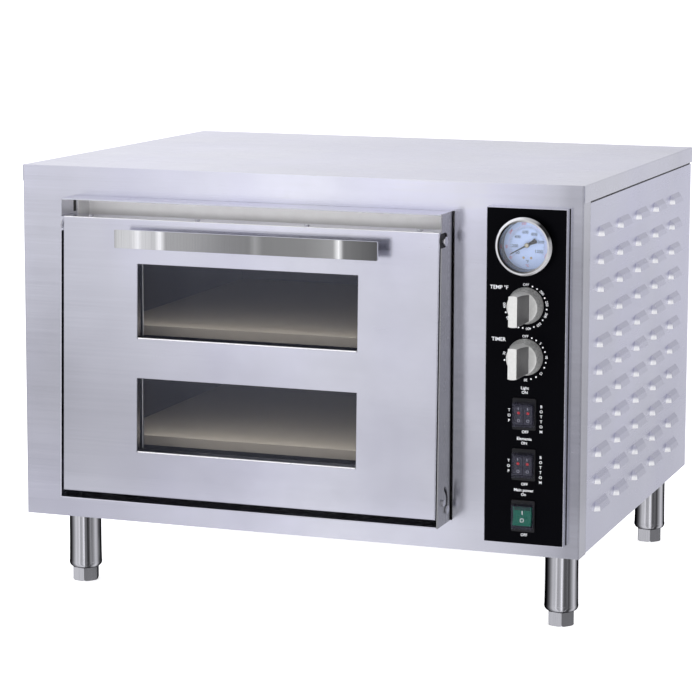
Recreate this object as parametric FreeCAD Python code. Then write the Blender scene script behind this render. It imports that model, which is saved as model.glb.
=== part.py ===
"""Countertop double-deck electric baking oven, in millimetres.

Cabinet coordinates while modelling: X from the middle of the cabinet, +X to the right as seen from the
front; Y from the face of the front panel, +Y to the back; Z up from the surface that the oven stands on.
Every piece is moved back by MID_Y when it is written, so the row's origin is the middle of the footprint.
"""
import math
import os

import FreeCAD, Part

V = FreeCAD.Vector
X_AXIS, Y_AXIS, Z_AXIS = V(1, 0, 0), V(0, 1, 0), V(0, 0, 1)

# ---- cabinet ----
BODY_W = 711.0
BODY_D = 560.0
BODY_H = 436.0
LEG_H = 100.0
SHEET = 1.2
FRONT_T = 1.5
RETURN_D = 30.0          # side returns of the front panel
COVER_FLANGE = 20.0      # turned-down flange of the top cover
COVER_Y0 = 2.0           # front edge of the cover, behind the front panel
FOLD_R = 1.8             # outside radius of the sheet folds
HALF_W = BODY_W / 2
BODY_Z0 = LEG_H
BODY_Z1 = LEG_H + BODY_H
THROUGH = 5.0            # how far a cutting tool runs past the sheet it cuts
TOLERANCE, PARALLEL = 0.01, 0.9
REST = 0.1               # gap between parts that only rest against each other
CLEAR = 0.3              # gap round parts that must not touch
EDGE_GAP = 0.5           # gap beside the edge of a sheet
SHELL_GAP = 1.5          # gap between the outer sheets and the base
COVER_GAP = 2.0          # room under the top cover
INSTRUMENT_HALF, INSTRUMENT_LOW, INSTRUMENT_HIGH = 40.0, 10.0, 6.0     # opening behind the control tray
TRAY_HALF_W, TRAY_Y0, TRAY_Y1, TRAY_RIM = 354.0, 1.6, 557.0, 18.0
TRAY_SLOTS, TRAY_SLOT_Y, TRAY_SLOT_PITCH, TRAY_SLOT_HALF, TRAY_SLOT_W = 8, 150.0, 24.0, 30.0, 4.0
PANEL_TOP_DROP = 1.4     # top return of the front panel below the cover
PANEL_TOP_RETURN = 18.0
SIDE_Y0, SIDE_Y1 = RETURN_D + 0.5, 558.0
SIDE_TOP = BODY_Z1 - COVER_FLANGE - 2.5     # shadow gap under the cover's flange
JOGGLE_LAP = 6.0
SIDE_REAR_FLANGE = 16.0
BACK_Y0 = 558.4
VENT_COLUMNS, VENT_ROWS = (-220.0, -110.0, 0.0, 110.0, 220.0), 9
VENT_Z, VENT_PITCH, VENT_HALF, VENT_TALL = BODY_Z0 + 250.0, 13.0, 38.0, 4.0
BACK_SCREW_Z = (10.0, 160.0, 310.0, 404.0)
BACK_SCREW_INSET, BACK_SCREW_FOOT_X = 9.0, 110.0
SCREW_HOLE = 2.2
SCREW_R, SCREW_HEAD_R, SCREW_HEAD_T, SCREW_L = 2.0, 4.0, 2.4, 8.0
LEG_STUD_R, LEG_STUD_HOLE, LEG_NUT_AF, LEG_NUT_T = 5.0, 5.5, 17.0, 6.8

# ---- louvres: columns along the depth, rows up the side ----
LOUVRE_COLS, LOUVRE_PITCH_Y = 5, 92.0
LOUVRE_ROWS, LOUVRE_PITCH_Z = 11, 32.8
LOUVRE_L, LOUVRE_TALL, LOUVRE_OUT = 58.0, 12.5, 6.5
LOUVRE_MID_Y = BODY_D / 2
LOUVRE_MID_Z = BODY_Z0 + 213.0
LOUVRE_BROW_OUT, LOUVRE_BROW_UP = 0.72, 0.55     # where the hood turns over, as parts of its depth and height
LOUVRE_END, LOUVRE_BROW_END, LOUVRE_TOP_END = 5.0, 9.0, 6.0     # how far each line stops short of the end
LOUVRE_ROOT = 0.6
LOUVRE_SLOT_END = 4.0

# ---- door surround: a sheet sleeve that stands out of the front panel, further out at the bottom ----
SUR_T = 1.5
SUR_X0, SUR_X1 = -285.0, 199.0
SUR_Z0, SUR_Z1 = BODY_Z0 + 35.0, BODY_Z0 + 401.0
REACH_TOP, REACH_BOTTOM = 40.0, 50.0
PANEL_GAP = 2.0          # slot beside each cheek where it passes the front panel
PANEL_CLEAR = 0.05       # the surround's top and bottom plates sit in the panel with this play
CHEEK_REAR = 3.0
NOTCH_LOW, NOTCH_HIGH, NOTCH_R, NOTCH_BACK = 7.0, 10.0, 8.5, 2.0
SLOT_PLAY = 0.2          # play of the guide pin in its arc slot
LEAN = math.atan((REACH_BOTTOM - REACH_TOP) / (SUR_Z1 - SUR_Z0))

# ---- chambers ----
DECK_PITCH = 138.0
FACE_Y = 36.0            # face that the door seals against
CH_X0, CH_X1 = -263.0, 177.0
CH_MID = (CH_X0 + CH_X1) / 2
CH_Z0, CH_H = BODY_Z0 + 76.0, 118.0
CH_BACK = 480.0
STONE_T = 12.0
STONE_LIFT = 12.0
ELEMENT_R = 3.5
ELEMENT_LIFT = 6.5
ELEMENT_DROP = 10.0
ELEMENT_STEP = 110.0
ELEMENT_RUNS_HALF = 1.5 * ELEMENT_STEP     # outer runs from the middle
LAMP_Y, LAMP_LIFT, LAMP_R = 420.0, 69.0, 17.0
PROBE_R, PROBE_L = 3.0, 70.0
CAPILLARY_R, CAPILLARY_BEND = 1.2, 15.0
ELEMENT_FRONT, ELEMENT_REAR, ELEMENT_TAIL = 128.0, 395.0, 16.0
TERMINAL_R, TERMINAL_L = 1.8, 9.0
LEDGE_W, LEDGE_END = 12.0, 6.0
STONE_SIDE, STONE_END, STONE_CORNER = 2.0, 5.0, 6.0
LAMP_DEPTH, LAMP_BOSS_R, LAMP_BOSS_L = 20.0, 8.0, 12.0
LENS_R, LENS_T, LENS_ROUND = 24.0, 6.0, 3.0
LINER_CLEAR = 0.3
PORT_CLEAR, HOLE_CLEAR = 0.5, 1.0     # round the fittings in the liners, and in the wool and bulkhead
WOOL_EDGE = 2.0
JOINT_X = 204.0          # where each capillary leaves its bulb
STAT_OFFSET = 14.0
THROAT_FLANGE_Y = 5.2    # front edge of the forward flanges on the chamber face
WOOL_T = 24.0
GAUGE_PROBE_Y, GAUGE_PROBE_LIFT = 200.0, 91.0
STAT_PROBE_Y, STAT_PROBE_LIFT = 240.0, 81.0
BULKHEAD_X, BULKHEAD_FOOT = 214.0, 14.0

# ---- door ----
DOOR_X0, DOOR_X1 = SUR_X0 + SUR_T + 2.2, SUR_X1 - SUR_T - 1.2
DOOR_Z0, DOOR_Z1 = BODY_Z0 + 44.5, BODY_Z0 + 380.0
DOOR_T = 1.2
SHELL_D = 38.0
PLUG_X0, PLUG_X1 = -275.0, 189.0
PLUG_Z0, PLUG_Z1 = BODY_Z0 + 56.0, BODY_Z0 + 352.0
PLUG_Y = 32.0
WIN_MID = -43.0
WIN_W, WIN_H = 280.0, 90.0
WIN_Z = (BODY_Z0 + 143.0, BODY_Z0 + 143.0 + DECK_PITCH)
WIN_LIP = 9.0
GLASS_T = 4.0
GLASS_LAP = 7.0
INNER_WIN_W, INNER_WIN_H = 334.0, 108.0
INNER_WIN_DROP = 4.0     # inner openings sit a little lower than the outer ones
WIN_FOLD_R = 0.9
INNER_T = 1.0
SLEEVE_T, SLEEVE_MARGIN, SLEEVE_START = 1.0, 10.0, 3.5
OVERCUT = 0.01
WOOL_INSET, WOOL_ROOM = 30.0, 3.0
SEAL_BAND, SEAL_EDGE, SEAL_SIDE = 13.0, 4.0, 2.0
DOOR_SCREW_X, DOOR_SCREW_PITCH, DOOR_SCREW_Y, DOOR_SCREW_COUNT = 34.5, 139.0, -35.0, 4
DOOR_HEAD_R, DOOR_HEAD_T = 3.2, 1.6
HINGE_Y, HINGE_Z = -33.0, BODY_Z0 + 62.0
HINGE_R = 4.0
GUIDE_R, GUIDE_ARM = 3.0, 18.0
GUIDE_START = -35.0      # degrees round the hinge axis, from straight back
DOOR_SWING = 90.0
CATCH_Y, CATCH_Z, CATCH_R = -31.0, BODY_Z0 + 369.0, 3.0
FIT = 0.05               # radial running clearance
PIN_IN, PIN_OUT, PIN_COLLAR_R, PIN_COLLAR_L = 14.0, 2.4, 3.0, 4.0
GUIDE_HEAD_R, CATCH_HEAD_R = 5.0, 5.5
PIN_ROOM = 0.1           # radial room of each pin in the door's side fold

# ---- handle ----
HANDLE_X, HANDLE_Z = -36.5, BODY_Z0 + 358.2
HANDLE_L, HANDLE_H, HANDLE_T = 331.0, 22.0, 4.0
HANDLE_REACH = 66.0
HANDLE_CORNER = 1.2
STANDOFF_R, STANDOFF_X = 6.0, 118.0
STANDOFF_SCREW_R, STANDOFF_NUT_R, STANDOFF_SCREW_L = 2.2, 5.0, 9.0
STANDOFF_NUT_Y, STANDOFF_NUT_T = 2.0, 4.0

# ---- control column ----
CTRL_X = 291.5
CTRL_W, CTRL_Z0, CTRL_Z1 = 96.0, BODY_Z0 + 16.0, BODY_Z0 + 409.5
TRAY_OUT = 12.0
OVERLAY_T, OVERLAY_INSET, OVERLAY_GLUE = 0.6, 0.8, 0.02
GAUGE_Z = BODY_Z0 + 366.3
GAUGE_R, GAUGE_CUP_R, GAUGE_BARREL_R, GAUGE_ROOM_R, GAUGE_LIP_R = 34.0, 32.5, 29.2, 28.6, 30.4
GAUGE_FACE = -TRAY_OUT - OVERLAY_T - 0.1
GAUGE_FRONT, GAUGE_BEZEL_D, GAUGE_ROUND = GAUGE_FACE - 14.4, 6.6, 2.6
GAUGE_LIP_D, GAUGE_REAR, GAUGE_BOSS_R = 1.2, 18.0, 5.0
DIAL_R, DIAL_HOLE_R, DIAL_Y, DIAL_T = 28.4, 2.2, -8.0, 0.8
LENS_FRONT_DROP, GAUGE_LENS_T = 3.4, 2.0
SPINDLE_R, SPINDLE_L, HUB_R, HUB_RISE = 1.6, 8.0, 2.8, 0.8
NEEDLE_HALF = (0.3, 1.0, 3.0)          # half widths at the tip, the hub and the tail
NEEDLE_TIP, NEEDLE_TAIL, NEEDLE_T, NEEDLE_LIFT, NEEDLE_REST = 23.0, 12.0, 0.8, 2.2, -29.0
TEMP_Z, TIMER_Z = BODY_Z0 + 296.7, BODY_Z0 + 236.8
KNOB_R, KNOB_FRONT = 21.5, -66.0
KNOB_BASE, KNOB_FLOOR = -TRAY_OUT - OVERLAY_T - 0.6, -30.0
KNOB_GRIP_R, KNOB_BORE = 18.0, 20.0
GRIP_FRONT, GRIP_MIDDLE, GRIP_ROOT = 5.1, 6.2, 9.4     # half widths of the grip blade
KNOB_ROUND = 0.9
SHAFT_R, SHAFT_TIP, SHAFT_END, SHAFT_FLAT, SHAFT_FLAT_L = 3.0, -31.0, 6.0, 0.8, 13.0
CASE_REAR = 24.0         # back of the instruments behind the tray
THERMOSTAT_HALF, TIMER_HALF, CASE_CORNER = 23.0, 24.0, 3.0
NOSE_R, NOSE_HOLE_R = 5.3, 5.5
SWITCH_Z = (BODY_Z0 + 170.3, BODY_Z0 + 110.7, BODY_Z0 + 50.0)
SWITCH_W, SWITCH_H, SWITCH_RIM, SWITCH_CORNER = 28.0, 37.0, 2.0, 1.5
SWITCH_CUT_W, SWITCH_CUT_H = 12.6, 16.6          # half sizes of the panel cut-out
NECK_W, NECK_H, NECK_END = 12.4, 16.4, 16.0
POCKET_W, POCKET_H, POCKET_D = 11.4, 13.2, 8.0
TAB_X, TAB_Z, TAB_W, TAB_T, TAB_L = (-6.0, 6.0), (-9.0, 0.0, 9.0), 2.4, 0.4, 8.0
BOOT_W, BOOT_H, BOOT_OUT, BOOT_T, BOOT_ROUND = 12.4, 14.4, 8.6, 0.9, 1.2
ROCKER_TILT, ROCKER_HALF_H, ROCKER_HALF_W, ROCKER_GAP = 6.0, 11.0, 10.8, 0.4
ROCKER_Y = -TRAY_OUT - 1.0
ROCKER_TIP_Y, ROCKER_WAIST_Y, ROCKER_EDGE_Y, ROCKER_ROOT_Y, ROCKER_ROOT = -19.2, -17.4, -15.0, -9.0, 4.0

# ---- legs, inlet ----
LEG_X = BODY_W / 2 - 41.5
LEG_Y = (78.0, BODY_D - 30.0)
LEG_R = 20.0
LEG_BOTTOM = 17.3
FOOT_H, FOOT_AF = 17.0, 30.0
STUD_R = 6.0
LEG_WALL, LEG_FLARE, LEG_FLARE_UP, LEG_TAPER_Z = 1.5, 0.4, 8.0, 60.0
LEG_TOE_IN, LEG_BEND_IN, LEG_BEND_UP = 4.0, 0.7, 2.2
LEG_INSERT_R, LEG_INSERT_L, LEG_INSERT_LOW, LEG_STUD_UP = 12.0, 40.0, 12.0, 12.0
LEG_END_GAP = 0.1
THREAD_PLAY = 0.06
FOOT_TURN, FOOT_TOE_R, FOOT_CORNER_R, FOOT_TOE_H, FOOT_STUD_L = 17.0, 15.5, 18.5, 3.0, 34.0
GLAND_X, GLAND_Z, GLAND_REACH = 290.0, BODY_Z0 + 52.0, 20.0
GLAND_BODY_R, GLAND_COLLAR_R, GLAND_DOME_R, GLAND_TIP_R, GLAND_COLLAR_T = 11.0, 15.0, 13.0, 9.5, 4.0
GLAND_HOLE_R, GLAND_INSIDE = 11.3, 12.0
CORD_R = 5.0
BLOCK_HALF, BLOCK_Y, BLOCK_D, BLOCK_H, BLOCK_POLES, BLOCK_PITCH = 32.0, 470.0, 24.0, 22.0, 4, 16.0
BLOCK_SCREW_R, BLOCK_WIRE_R, BLOCK_WIRE_Z, BLOCK_SCREW_Z = 3.2, 2.4, 8.0, 14.0

MID_Y = (BODY_D + GLAND_REACH - HANDLE_REACH) / 2


# ---------------------------------------------------------------- helpers
def box(x0, x1, y0, y1, z0, z1):
    return Part.makeBox(x1 - x0, y1 - y0, z1 - z0, V(x0, y0, z0))


def rod(radius, start, end):
    """Round bar between two points."""
    run = end - start
    return Part.makeCylinder(radius, run.Length, start, run)


def ring(outer, inner, start, end):
    return rod(outer, start, end).cut(rod(inner, start, end))


def prism_x(profile, x0, x1):
    """Solid with a (y, z) outline, from x0 to x1."""
    corners = [V(x0, y, z) for y, z in profile]
    face = Part.Face(Part.makePolygon(corners + corners[:1]))
    return face.extrude(V(x1 - x0, 0, 0))


def cut_all(shape, tools):
    return shape.cut(Part.makeCompound(tools)) if tools else shape


def fuse_all(shapes):
    return shapes[0].multiFuse(shapes[1:]).removeSplitter() if len(shapes) > 1 else shapes[0]


def edges_along(shape, axis):
    return [e for e in shape.Edges if abs(e.tangentAt(e.FirstParameter).dot(axis)) > PARALLEL]


def edges_where(shape, test):
    """Straight or round edges whose middle passes the test."""
    return [e for e in shape.Edges if test(e.CenterOfMass)]


def near(a, b):
    return abs(a - b) < TOLERANCE


def round_folds(shape, radius, test):
    return shape.makeFillet(radius, edges_where(shape, test))


def bent_tube(points, radius, bend):
    """Round tube along straight runs joined by arcs of one bend radius."""
    pieces = []
    start = points[0]
    for corner, after in zip(points[1:-1], points[2:]):
        u = (corner - start).normalize()
        w = (after - corner).normalize()
        turn = u.getAngle(w)
        trim = bend * math.tan(turn / 2)
        arc_start = corner - u * trim
        arc_end = corner + w * trim
        centre = corner + (w - u).normalize() * (bend / math.cos(turn / 2))
        pieces.append(rod(radius, start, arc_start))
        disc = Part.Face(Part.Wire(Part.makeCircle(radius, arc_start, u)))
        pieces.append(disc.revolve(centre, u.cross(w), math.degrees(turn)))
        start = arc_end
    pieces.append(rod(radius, start, points[-1]))
    return fuse_all(pieces)


def hexagon(across_flats, z0, z1, x, y, turn):
    """Upright hexagonal bar; turn is the bearing of one corner from -Y, in degrees."""
    r = across_flats / math.sqrt(3)
    corners = []
    for i in range(6):
        a = math.radians(turn + 60 * i - 90)
        corners.append(V(x + r * math.cos(a), y + r * math.sin(a), z0))
    return Part.Face(Part.makePolygon(corners + corners[:1])).extrude(V(0, 0, z1 - z0))


def front_y(z):
    """The leaning plane of the surround's front edges and the door's face."""
    return -REACH_BOTTOM + (REACH_BOTTOM - REACH_TOP) * (z - SUR_Z0) / (SUR_Z1 - SUR_Z0)


def lean(shape):
    """Lean a piece modelled upright, with its face at y = 0 and its foot at DOOR_Z0, back into the door."""
    shape = shape.copy()
    shape.rotate(V(0, 0, DOOR_Z0), X_AXIS, -math.degrees(LEAN))
    shape.translate(V(0, front_y(DOOR_Z0), 0))
    return shape


def frustum(front, back, y_front, y_back):
    """Four-sided solid between two (width, height, z) openings."""
    wires = []
    for (w, h, z), y in ((front, y_front), (back, y_back)):
        corners = [V(WIN_MID + sx * w / 2, y, z + sz * h / 2) for sx, sz in
                   ((-1, -1), (1, -1), (1, 1), (-1, 1))]
        wires.append(Part.makePolygon(corners + corners[:1]))
    return Part.makeLoft(wires, True, True)


def guide_point(angle):
    a = math.radians(angle)
    return HINGE_Y + GUIDE_ARM * math.cos(a), HINGE_Z + GUIDE_ARM * math.sin(a)


# ---------------------------------------------------------------- cabinet shells
def base_tray():
    top = BODY_Z0 + SHEET
    outer = box(-TRAY_HALF_W, TRAY_HALF_W, TRAY_Y0, TRAY_Y1, BODY_Z0, BODY_Z0 + TRAY_RIM)
    tray = outer.cut(box(-TRAY_HALF_W + SHEET, TRAY_HALF_W - SHEET, TRAY_Y0 + SHEET, TRAY_Y1 - SHEET,
                         top, BODY_Z1))
    holes = [rod(LEG_STUD_HOLE, V(x, y, BODY_Z0 - THROUGH), V(x, y, top + THROUGH)) for x, y in leg_places()]
    holes += [rod(SCREW_HOLE, V(x, TRAY_Y1 - THROUGH, z), V(x, BODY_D, z)) for x, z in back_screw_places()]
    for i in range(TRAY_SLOTS):
        y = TRAY_SLOT_Y + TRAY_SLOT_PITCH * i
        holes.append(box(CTRL_X - TRAY_SLOT_HALF, CTRL_X + TRAY_SLOT_HALF, y, y + TRAY_SLOT_W,
                         BODY_Z0 - THROUGH, top + THROUGH))
    return cut_all(tray, holes)


def front_panel():
    """Folded front: side and top returns, one opening for the surround and one behind the controls."""
    top = BODY_Z1 - PANEL_TOP_DROP
    pieces = [box(-HALF_W, HALF_W, 0, FRONT_T, BODY_Z0, BODY_Z1),
              box(-HALF_W, -HALF_W + SHEET, 0, RETURN_D, BODY_Z0, top),
              box(HALF_W - SHEET, HALF_W, 0, RETURN_D, BODY_Z0, top),
              box(-HALF_W, HALF_W, 0, PANEL_TOP_RETURN, top - SHEET, top)]
    panel = round_folds(fuse_all(pieces), FOLD_R, lambda c: near(abs(c.x), HALF_W) and near(c.y, 0))
    door_hole = box(SUR_X0 - PANEL_GAP, SUR_X1 + PANEL_GAP, -THROUGH, THROUGH,
                    SUR_Z0 - PANEL_CLEAR, SUR_Z1 + PANEL_CLEAR)
    instrument_hole = box(CTRL_X - INSTRUMENT_HALF, CTRL_X + INSTRUMENT_HALF, -THROUGH, THROUGH,
                          CTRL_Z0 + INSTRUMENT_LOW, CTRL_Z1 - INSTRUMENT_HIGH)
    return cut_all(panel, [door_hole, instrument_hole])


def top_cover():
    """Top sheet turned down at both sides and at the back."""
    outer = HALF_W + SHEET
    low = BODY_Z1 - COVER_FLANGE
    block = box(-outer, outer, COVER_Y0, BODY_D, low, BODY_Z1)
    block = round_folds(block, FOLD_R, lambda c: near(c.z, BODY_Z1) and not near(c.y, COVER_Y0))
    return block.cut(box(-HALF_W, HALF_W, COVER_Y0 - THROUGH, BODY_D - SHEET, low - THROUGH, BODY_Z1 - SHEET))


def louvre(y, z, grow):
    """One pressed louvre on the right side, open at its foot: a hood that slopes out from top to foot."""
    half, tall, out = LOUVRE_L / 2 - grow, LOUVRE_TALL - grow, LOUVRE_OUT - grow
    x = HALF_W - LOUVRE_ROOT
    foot = z - (EDGE_GAP if grow else 0)
    brow_x, brow_z = HALF_W + out * LOUVRE_BROW_OUT, z + tall * LOUVRE_BROW_UP
    root, crest, brow = half, half - LOUVRE_END, half - LOUVRE_BROW_END
    a, b = V(x, y - root, foot), V(x, y + root, foot)
    c, d = V(x, y + half - LOUVRE_TOP_END, z + tall), V(x, y - half + LOUVRE_TOP_END, z + tall)
    e, f = V(HALF_W + out, y - crest, foot), V(HALF_W + out, y + crest, foot)
    g, h = V(brow_x, y + brow, brow_z), V(brow_x, y - brow, brow_z)
    outlines = [(a, b, c, d), (a, e, f, b), (e, h, g, f), (h, d, c, g),
                (a, d, h), (a, h, e), (b, f, g), (b, g, c)]
    faces = [Part.Face(Part.makePolygon(list(o) + [o[0]])) for o in outlines]
    return Part.Solid(Part.Shell(faces))


def side_panel_right():
    """Louvred sheet with a joggled top edge behind the cover's flange and a rear flange."""
    inner = HALF_W - SHEET
    low = BODY_Z0 + SHELL_GAP
    top = BODY_Z1 - COVER_GAP
    panel = fuse_all([
        box(inner, HALF_W, SIDE_Y0, SIDE_Y1, low, SIDE_TOP),
        box(inner - SHEET, inner, SIDE_Y0, SIDE_Y1, SIDE_TOP - JOGGLE_LAP, top),
        box(HALF_W - SIDE_REAR_FLANGE, inner, SIDE_Y1 - SHEET, SIDE_Y1, BODY_Z0 + TRAY_RIM + 1, top)])
    slot_half = LOUVRE_L / 2 - LOUVRE_SLOT_END
    hoods = []
    hollows = [rod(SCREW_HOLE, V(x, SIDE_Y1 - THROUGH, z), V(x, BODY_D, z))
               for x, z in back_screw_places() if x > BODY_W / 3]
    for i in range(LOUVRE_COLS):
        for j in range(LOUVRE_ROWS):
            y = LOUVRE_MID_Y + (i - (LOUVRE_COLS - 1) / 2) * LOUVRE_PITCH_Y
            z = LOUVRE_MID_Z + (j - (LOUVRE_ROWS - 1) / 2) * LOUVRE_PITCH_Z - LOUVRE_TALL / 2
            hoods.append(louvre(y, z, 0))
            hollows.append(louvre(y, z, SHEET))
            hollows.append(box(HALF_W - 2 * SHEET, HALF_W - EDGE_GAP, y - slot_half, y + slot_half,
                               z + EDGE_GAP, z + LOUVRE_TALL - LOUVRE_SLOT_END))
    return cut_all(panel.multiFuse(hoods), hollows)


def side_panel_left(right):
    return right.mirror(V(0, 0, 0), X_AXIS)


def back_panel():
    rear = BODY_D + THROUGH
    half = HALF_W - COVER_GAP
    plate = box(-half, half, BACK_Y0, BODY_D, BODY_Z0 + SHELL_GAP, BODY_Z1 - COVER_FLANGE - EDGE_GAP)
    holes = [rod(GLAND_HOLE_R, V(GLAND_X, SIDE_Y1 - 1, GLAND_Z), V(GLAND_X, rear, GLAND_Z))]
    for column in VENT_COLUMNS:
        for row in range(VENT_ROWS):
            z = VENT_Z + VENT_PITCH * row
            holes.append(box(column - VENT_HALF, column + VENT_HALF, SIDE_Y1 - 1, rear, z, z + VENT_TALL))
    holes += [rod(SCREW_HOLE, V(x, SIDE_Y1 - 1, z), V(x, rear, z)) for x, z in back_screw_places()]
    return cut_all(plate, holes)


def back_screw_places():
    edges = [(s * (HALF_W - BACK_SCREW_INSET), BODY_Z0 + z) for s in (-1, 1) for z in BACK_SCREW_Z]
    return edges + [(s * BACK_SCREW_FOOT_X, BODY_Z0 + BACK_SCREW_Z[0]) for s in (-1, 1)]


def cabinet_fasteners():
    """Pan-head screws of the back panel, and the nuts that hold the legs to the base tray."""
    pieces = []
    for x, z in back_screw_places():
        head = rod(SCREW_HEAD_R, V(x, BODY_D, z), V(x, BODY_D + SCREW_HEAD_T, z))
        pieces.append(head.fuse(rod(SCREW_R, V(x, BODY_D - SCREW_L, z), V(x, BODY_D, z))))
    low = BODY_Z0 + SHEET + REST
    for x, y in leg_places():
        nut = hexagon(LEG_NUT_AF, low, low + LEG_NUT_T, x, y, 0)
        pieces.append(nut.cut(rod(LEG_STUD_R + REST, V(x, y, BODY_Z0), V(x, y, low + 2 * LEG_NUT_T))))
    return Part.makeCompound(pieces)


def bulkhead():
    """Upright sheet between the chambers and the control compartment."""
    y0, y1, low = TRAY_Y0 + SHEET + CLEAR, TRAY_Y1 - SHEET - CLEAR, BODY_Z0 + SHEET
    sheet = box(BULKHEAD_X, BULKHEAD_X + SHEET, y0, y1, low, BODY_Z1 - SHEET - SHELL_GAP)
    foot = box(BULKHEAD_X, BULKHEAD_X + BULKHEAD_FOOT, y0, y1, low, low + SHEET)
    holes = [rod(PROBE_R + HOLE_CLEAR, V(BULKHEAD_X - THROUGH, y, z), V(BULKHEAD_X + THROUGH, y, z))
             for y, z in probe_places()]
    return cut_all(fuse_all([sheet, foot]), holes)


# ---------------------------------------------------------------- door surround and chambers
def surround_plate(z_outer, inward):
    """Top or bottom plate of the surround, held between the cheeks."""
    z0, z1 = sorted((z_outer, z_outer + inward * SUR_T))
    rear = FACE_Y - 2 * REST
    profile = [(front_y(z0), z0), (rear, z0), (rear, z1), (front_y(z1), z1)]
    return prism_x(profile, SUR_X0 + SUR_T, SUR_X1 - SUR_T)


def cheek(x0):
    """Side plate of the surround: hinge hole, arc slot for the guide pin, notch for the catch pin."""
    profile = [(front_y(SUR_Z0), SUR_Z0), (CHEEK_REAR, SUR_Z0),
               (CHEEK_REAR, SUR_Z1), (front_y(SUR_Z1), SUR_Z1)]
    plate = prism_x(profile, x0, x0 + SUR_T)
    left, right = x0 - THROUGH, x0 + SUR_T + THROUGH
    hinge = rod(HINGE_R + FIT, V(left, HINGE_Y, HINGE_Z), V(right, HINGE_Y, HINGE_Z))
    reach = GUIDE_R + SLOT_PLAY
    band = ring(GUIDE_ARM + reach, GUIDE_ARM - reach, V(left, HINGE_Y, HINGE_Z), V(right, HINGE_Y, HINGE_Z))
    fan = [(HINGE_Y, HINGE_Z)]
    for i in range(4):
        a = math.radians(GUIDE_START + DOOR_SWING * i / 3)
        fan.append((HINGE_Y + 2 * GUIDE_ARM * math.cos(a), HINGE_Z + 2 * GUIDE_ARM * math.sin(a)))
    slot = [band.common(prism_x(fan, left, right))]
    for angle in (GUIDE_START, GUIDE_START + DOOR_SWING):
        y, z = guide_point(angle)
        slot.append(rod(reach, V(left, y, z), V(right, y, z)))
    low, high = CATCH_Z - NOTCH_LOW, CATCH_Z + NOTCH_HIGH
    notch_y, notch_z = CATCH_Y + NOTCH_BACK, (low + high) / 2
    notch = fuse_all([box(left, right, -HANDLE_REACH, notch_y + NOTCH_R / 3, low, high),
                      rod(NOTCH_R, V(left, notch_y, notch_z), V(right, notch_y, notch_z))])
    return cut_all(plate, [hinge, notch] + slot)


def chamber_openings():
    return [(CH_Z0 + i * DECK_PITCH, CH_Z0 + i * DECK_PITCH + CH_H) for i in (0, 1)]


def chamber_face():
    """Frame that the door closes on, with a forward flange down each side of the throat."""
    z0, z1 = SUR_Z0 + SUR_T + REST, SUR_Z1 - SUR_T - REST
    x0, x1 = SUR_X0 + EDGE_GAP, SUR_X1 - EDGE_GAP
    plate = box(x0, x1, FACE_Y, FACE_Y + SHEET, z0, z1)
    flanges = [box(x0, x0 + SHEET, THROAT_FLANGE_Y, FACE_Y, z0, z1),
               box(x1 - SHEET, x1, THROAT_FLANGE_Y, FACE_Y, z0, z1)]
    holes = [box(CH_X0, CH_X1, FACE_Y - THROUGH, FACE_Y + THROUGH, lo, hi) for lo, hi in chamber_openings()]
    return cut_all(fuse_all([plate] + flanges), holes)


def probe_places():
    base = CH_Z0 + DECK_PITCH
    return ((GAUGE_PROBE_Y, base + GAUGE_PROBE_LIFT), (STAT_PROBE_Y, base + STAT_PROBE_LIFT))


def element_terminals(lo, hi):
    """Places (x, z) where the heater ends pass a chamber's rear wall."""
    heights = (lo + ELEMENT_LIFT, hi - ELEMENT_DROP)
    return [(CH_MID + s * ELEMENT_RUNS_HALF, z) for z in heights for s in (-1, 1)]


def chamber(deck):
    """Five-walled liner with a stone ledge down each side."""
    z0, z1 = chamber_openings()[deck]
    y0 = FACE_Y + SHEET
    t = SHEET
    outer = box(CH_X0 - t, CH_X1 + t, y0, CH_BACK + t, z0 - t, z1 + t)
    shell = outer.cut(box(CH_X0, CH_X1, y0 - THROUGH, CH_BACK, z0, z1))
    ledges = [box(x, x + LEDGE_W, y0 + LEDGE_END, CH_BACK - LEDGE_END, z0, z0 + STONE_LIFT)
              for x in (CH_X0, CH_X1 - LEDGE_W)]
    holes = [rod(ELEMENT_R + PORT_CLEAR, V(x, CH_BACK - THROUGH, z), V(x, CH_BACK + THROUGH, z))
             for x, z in element_terminals(z0, z1)]
    side = [(LAMP_R + PORT_CLEAR, LAMP_Y, z0 + LAMP_LIFT)]
    if deck:
        side += [(PROBE_R + PORT_CLEAR, y, z) for y, z in probe_places()]
    holes += [rod(r, V(CH_X1 - THROUGH, y, z), V(CH_X1 + THROUGH, y, z)) for r, y, z in side]
    return cut_all(fuse_all([shell] + ledges), holes)


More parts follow.
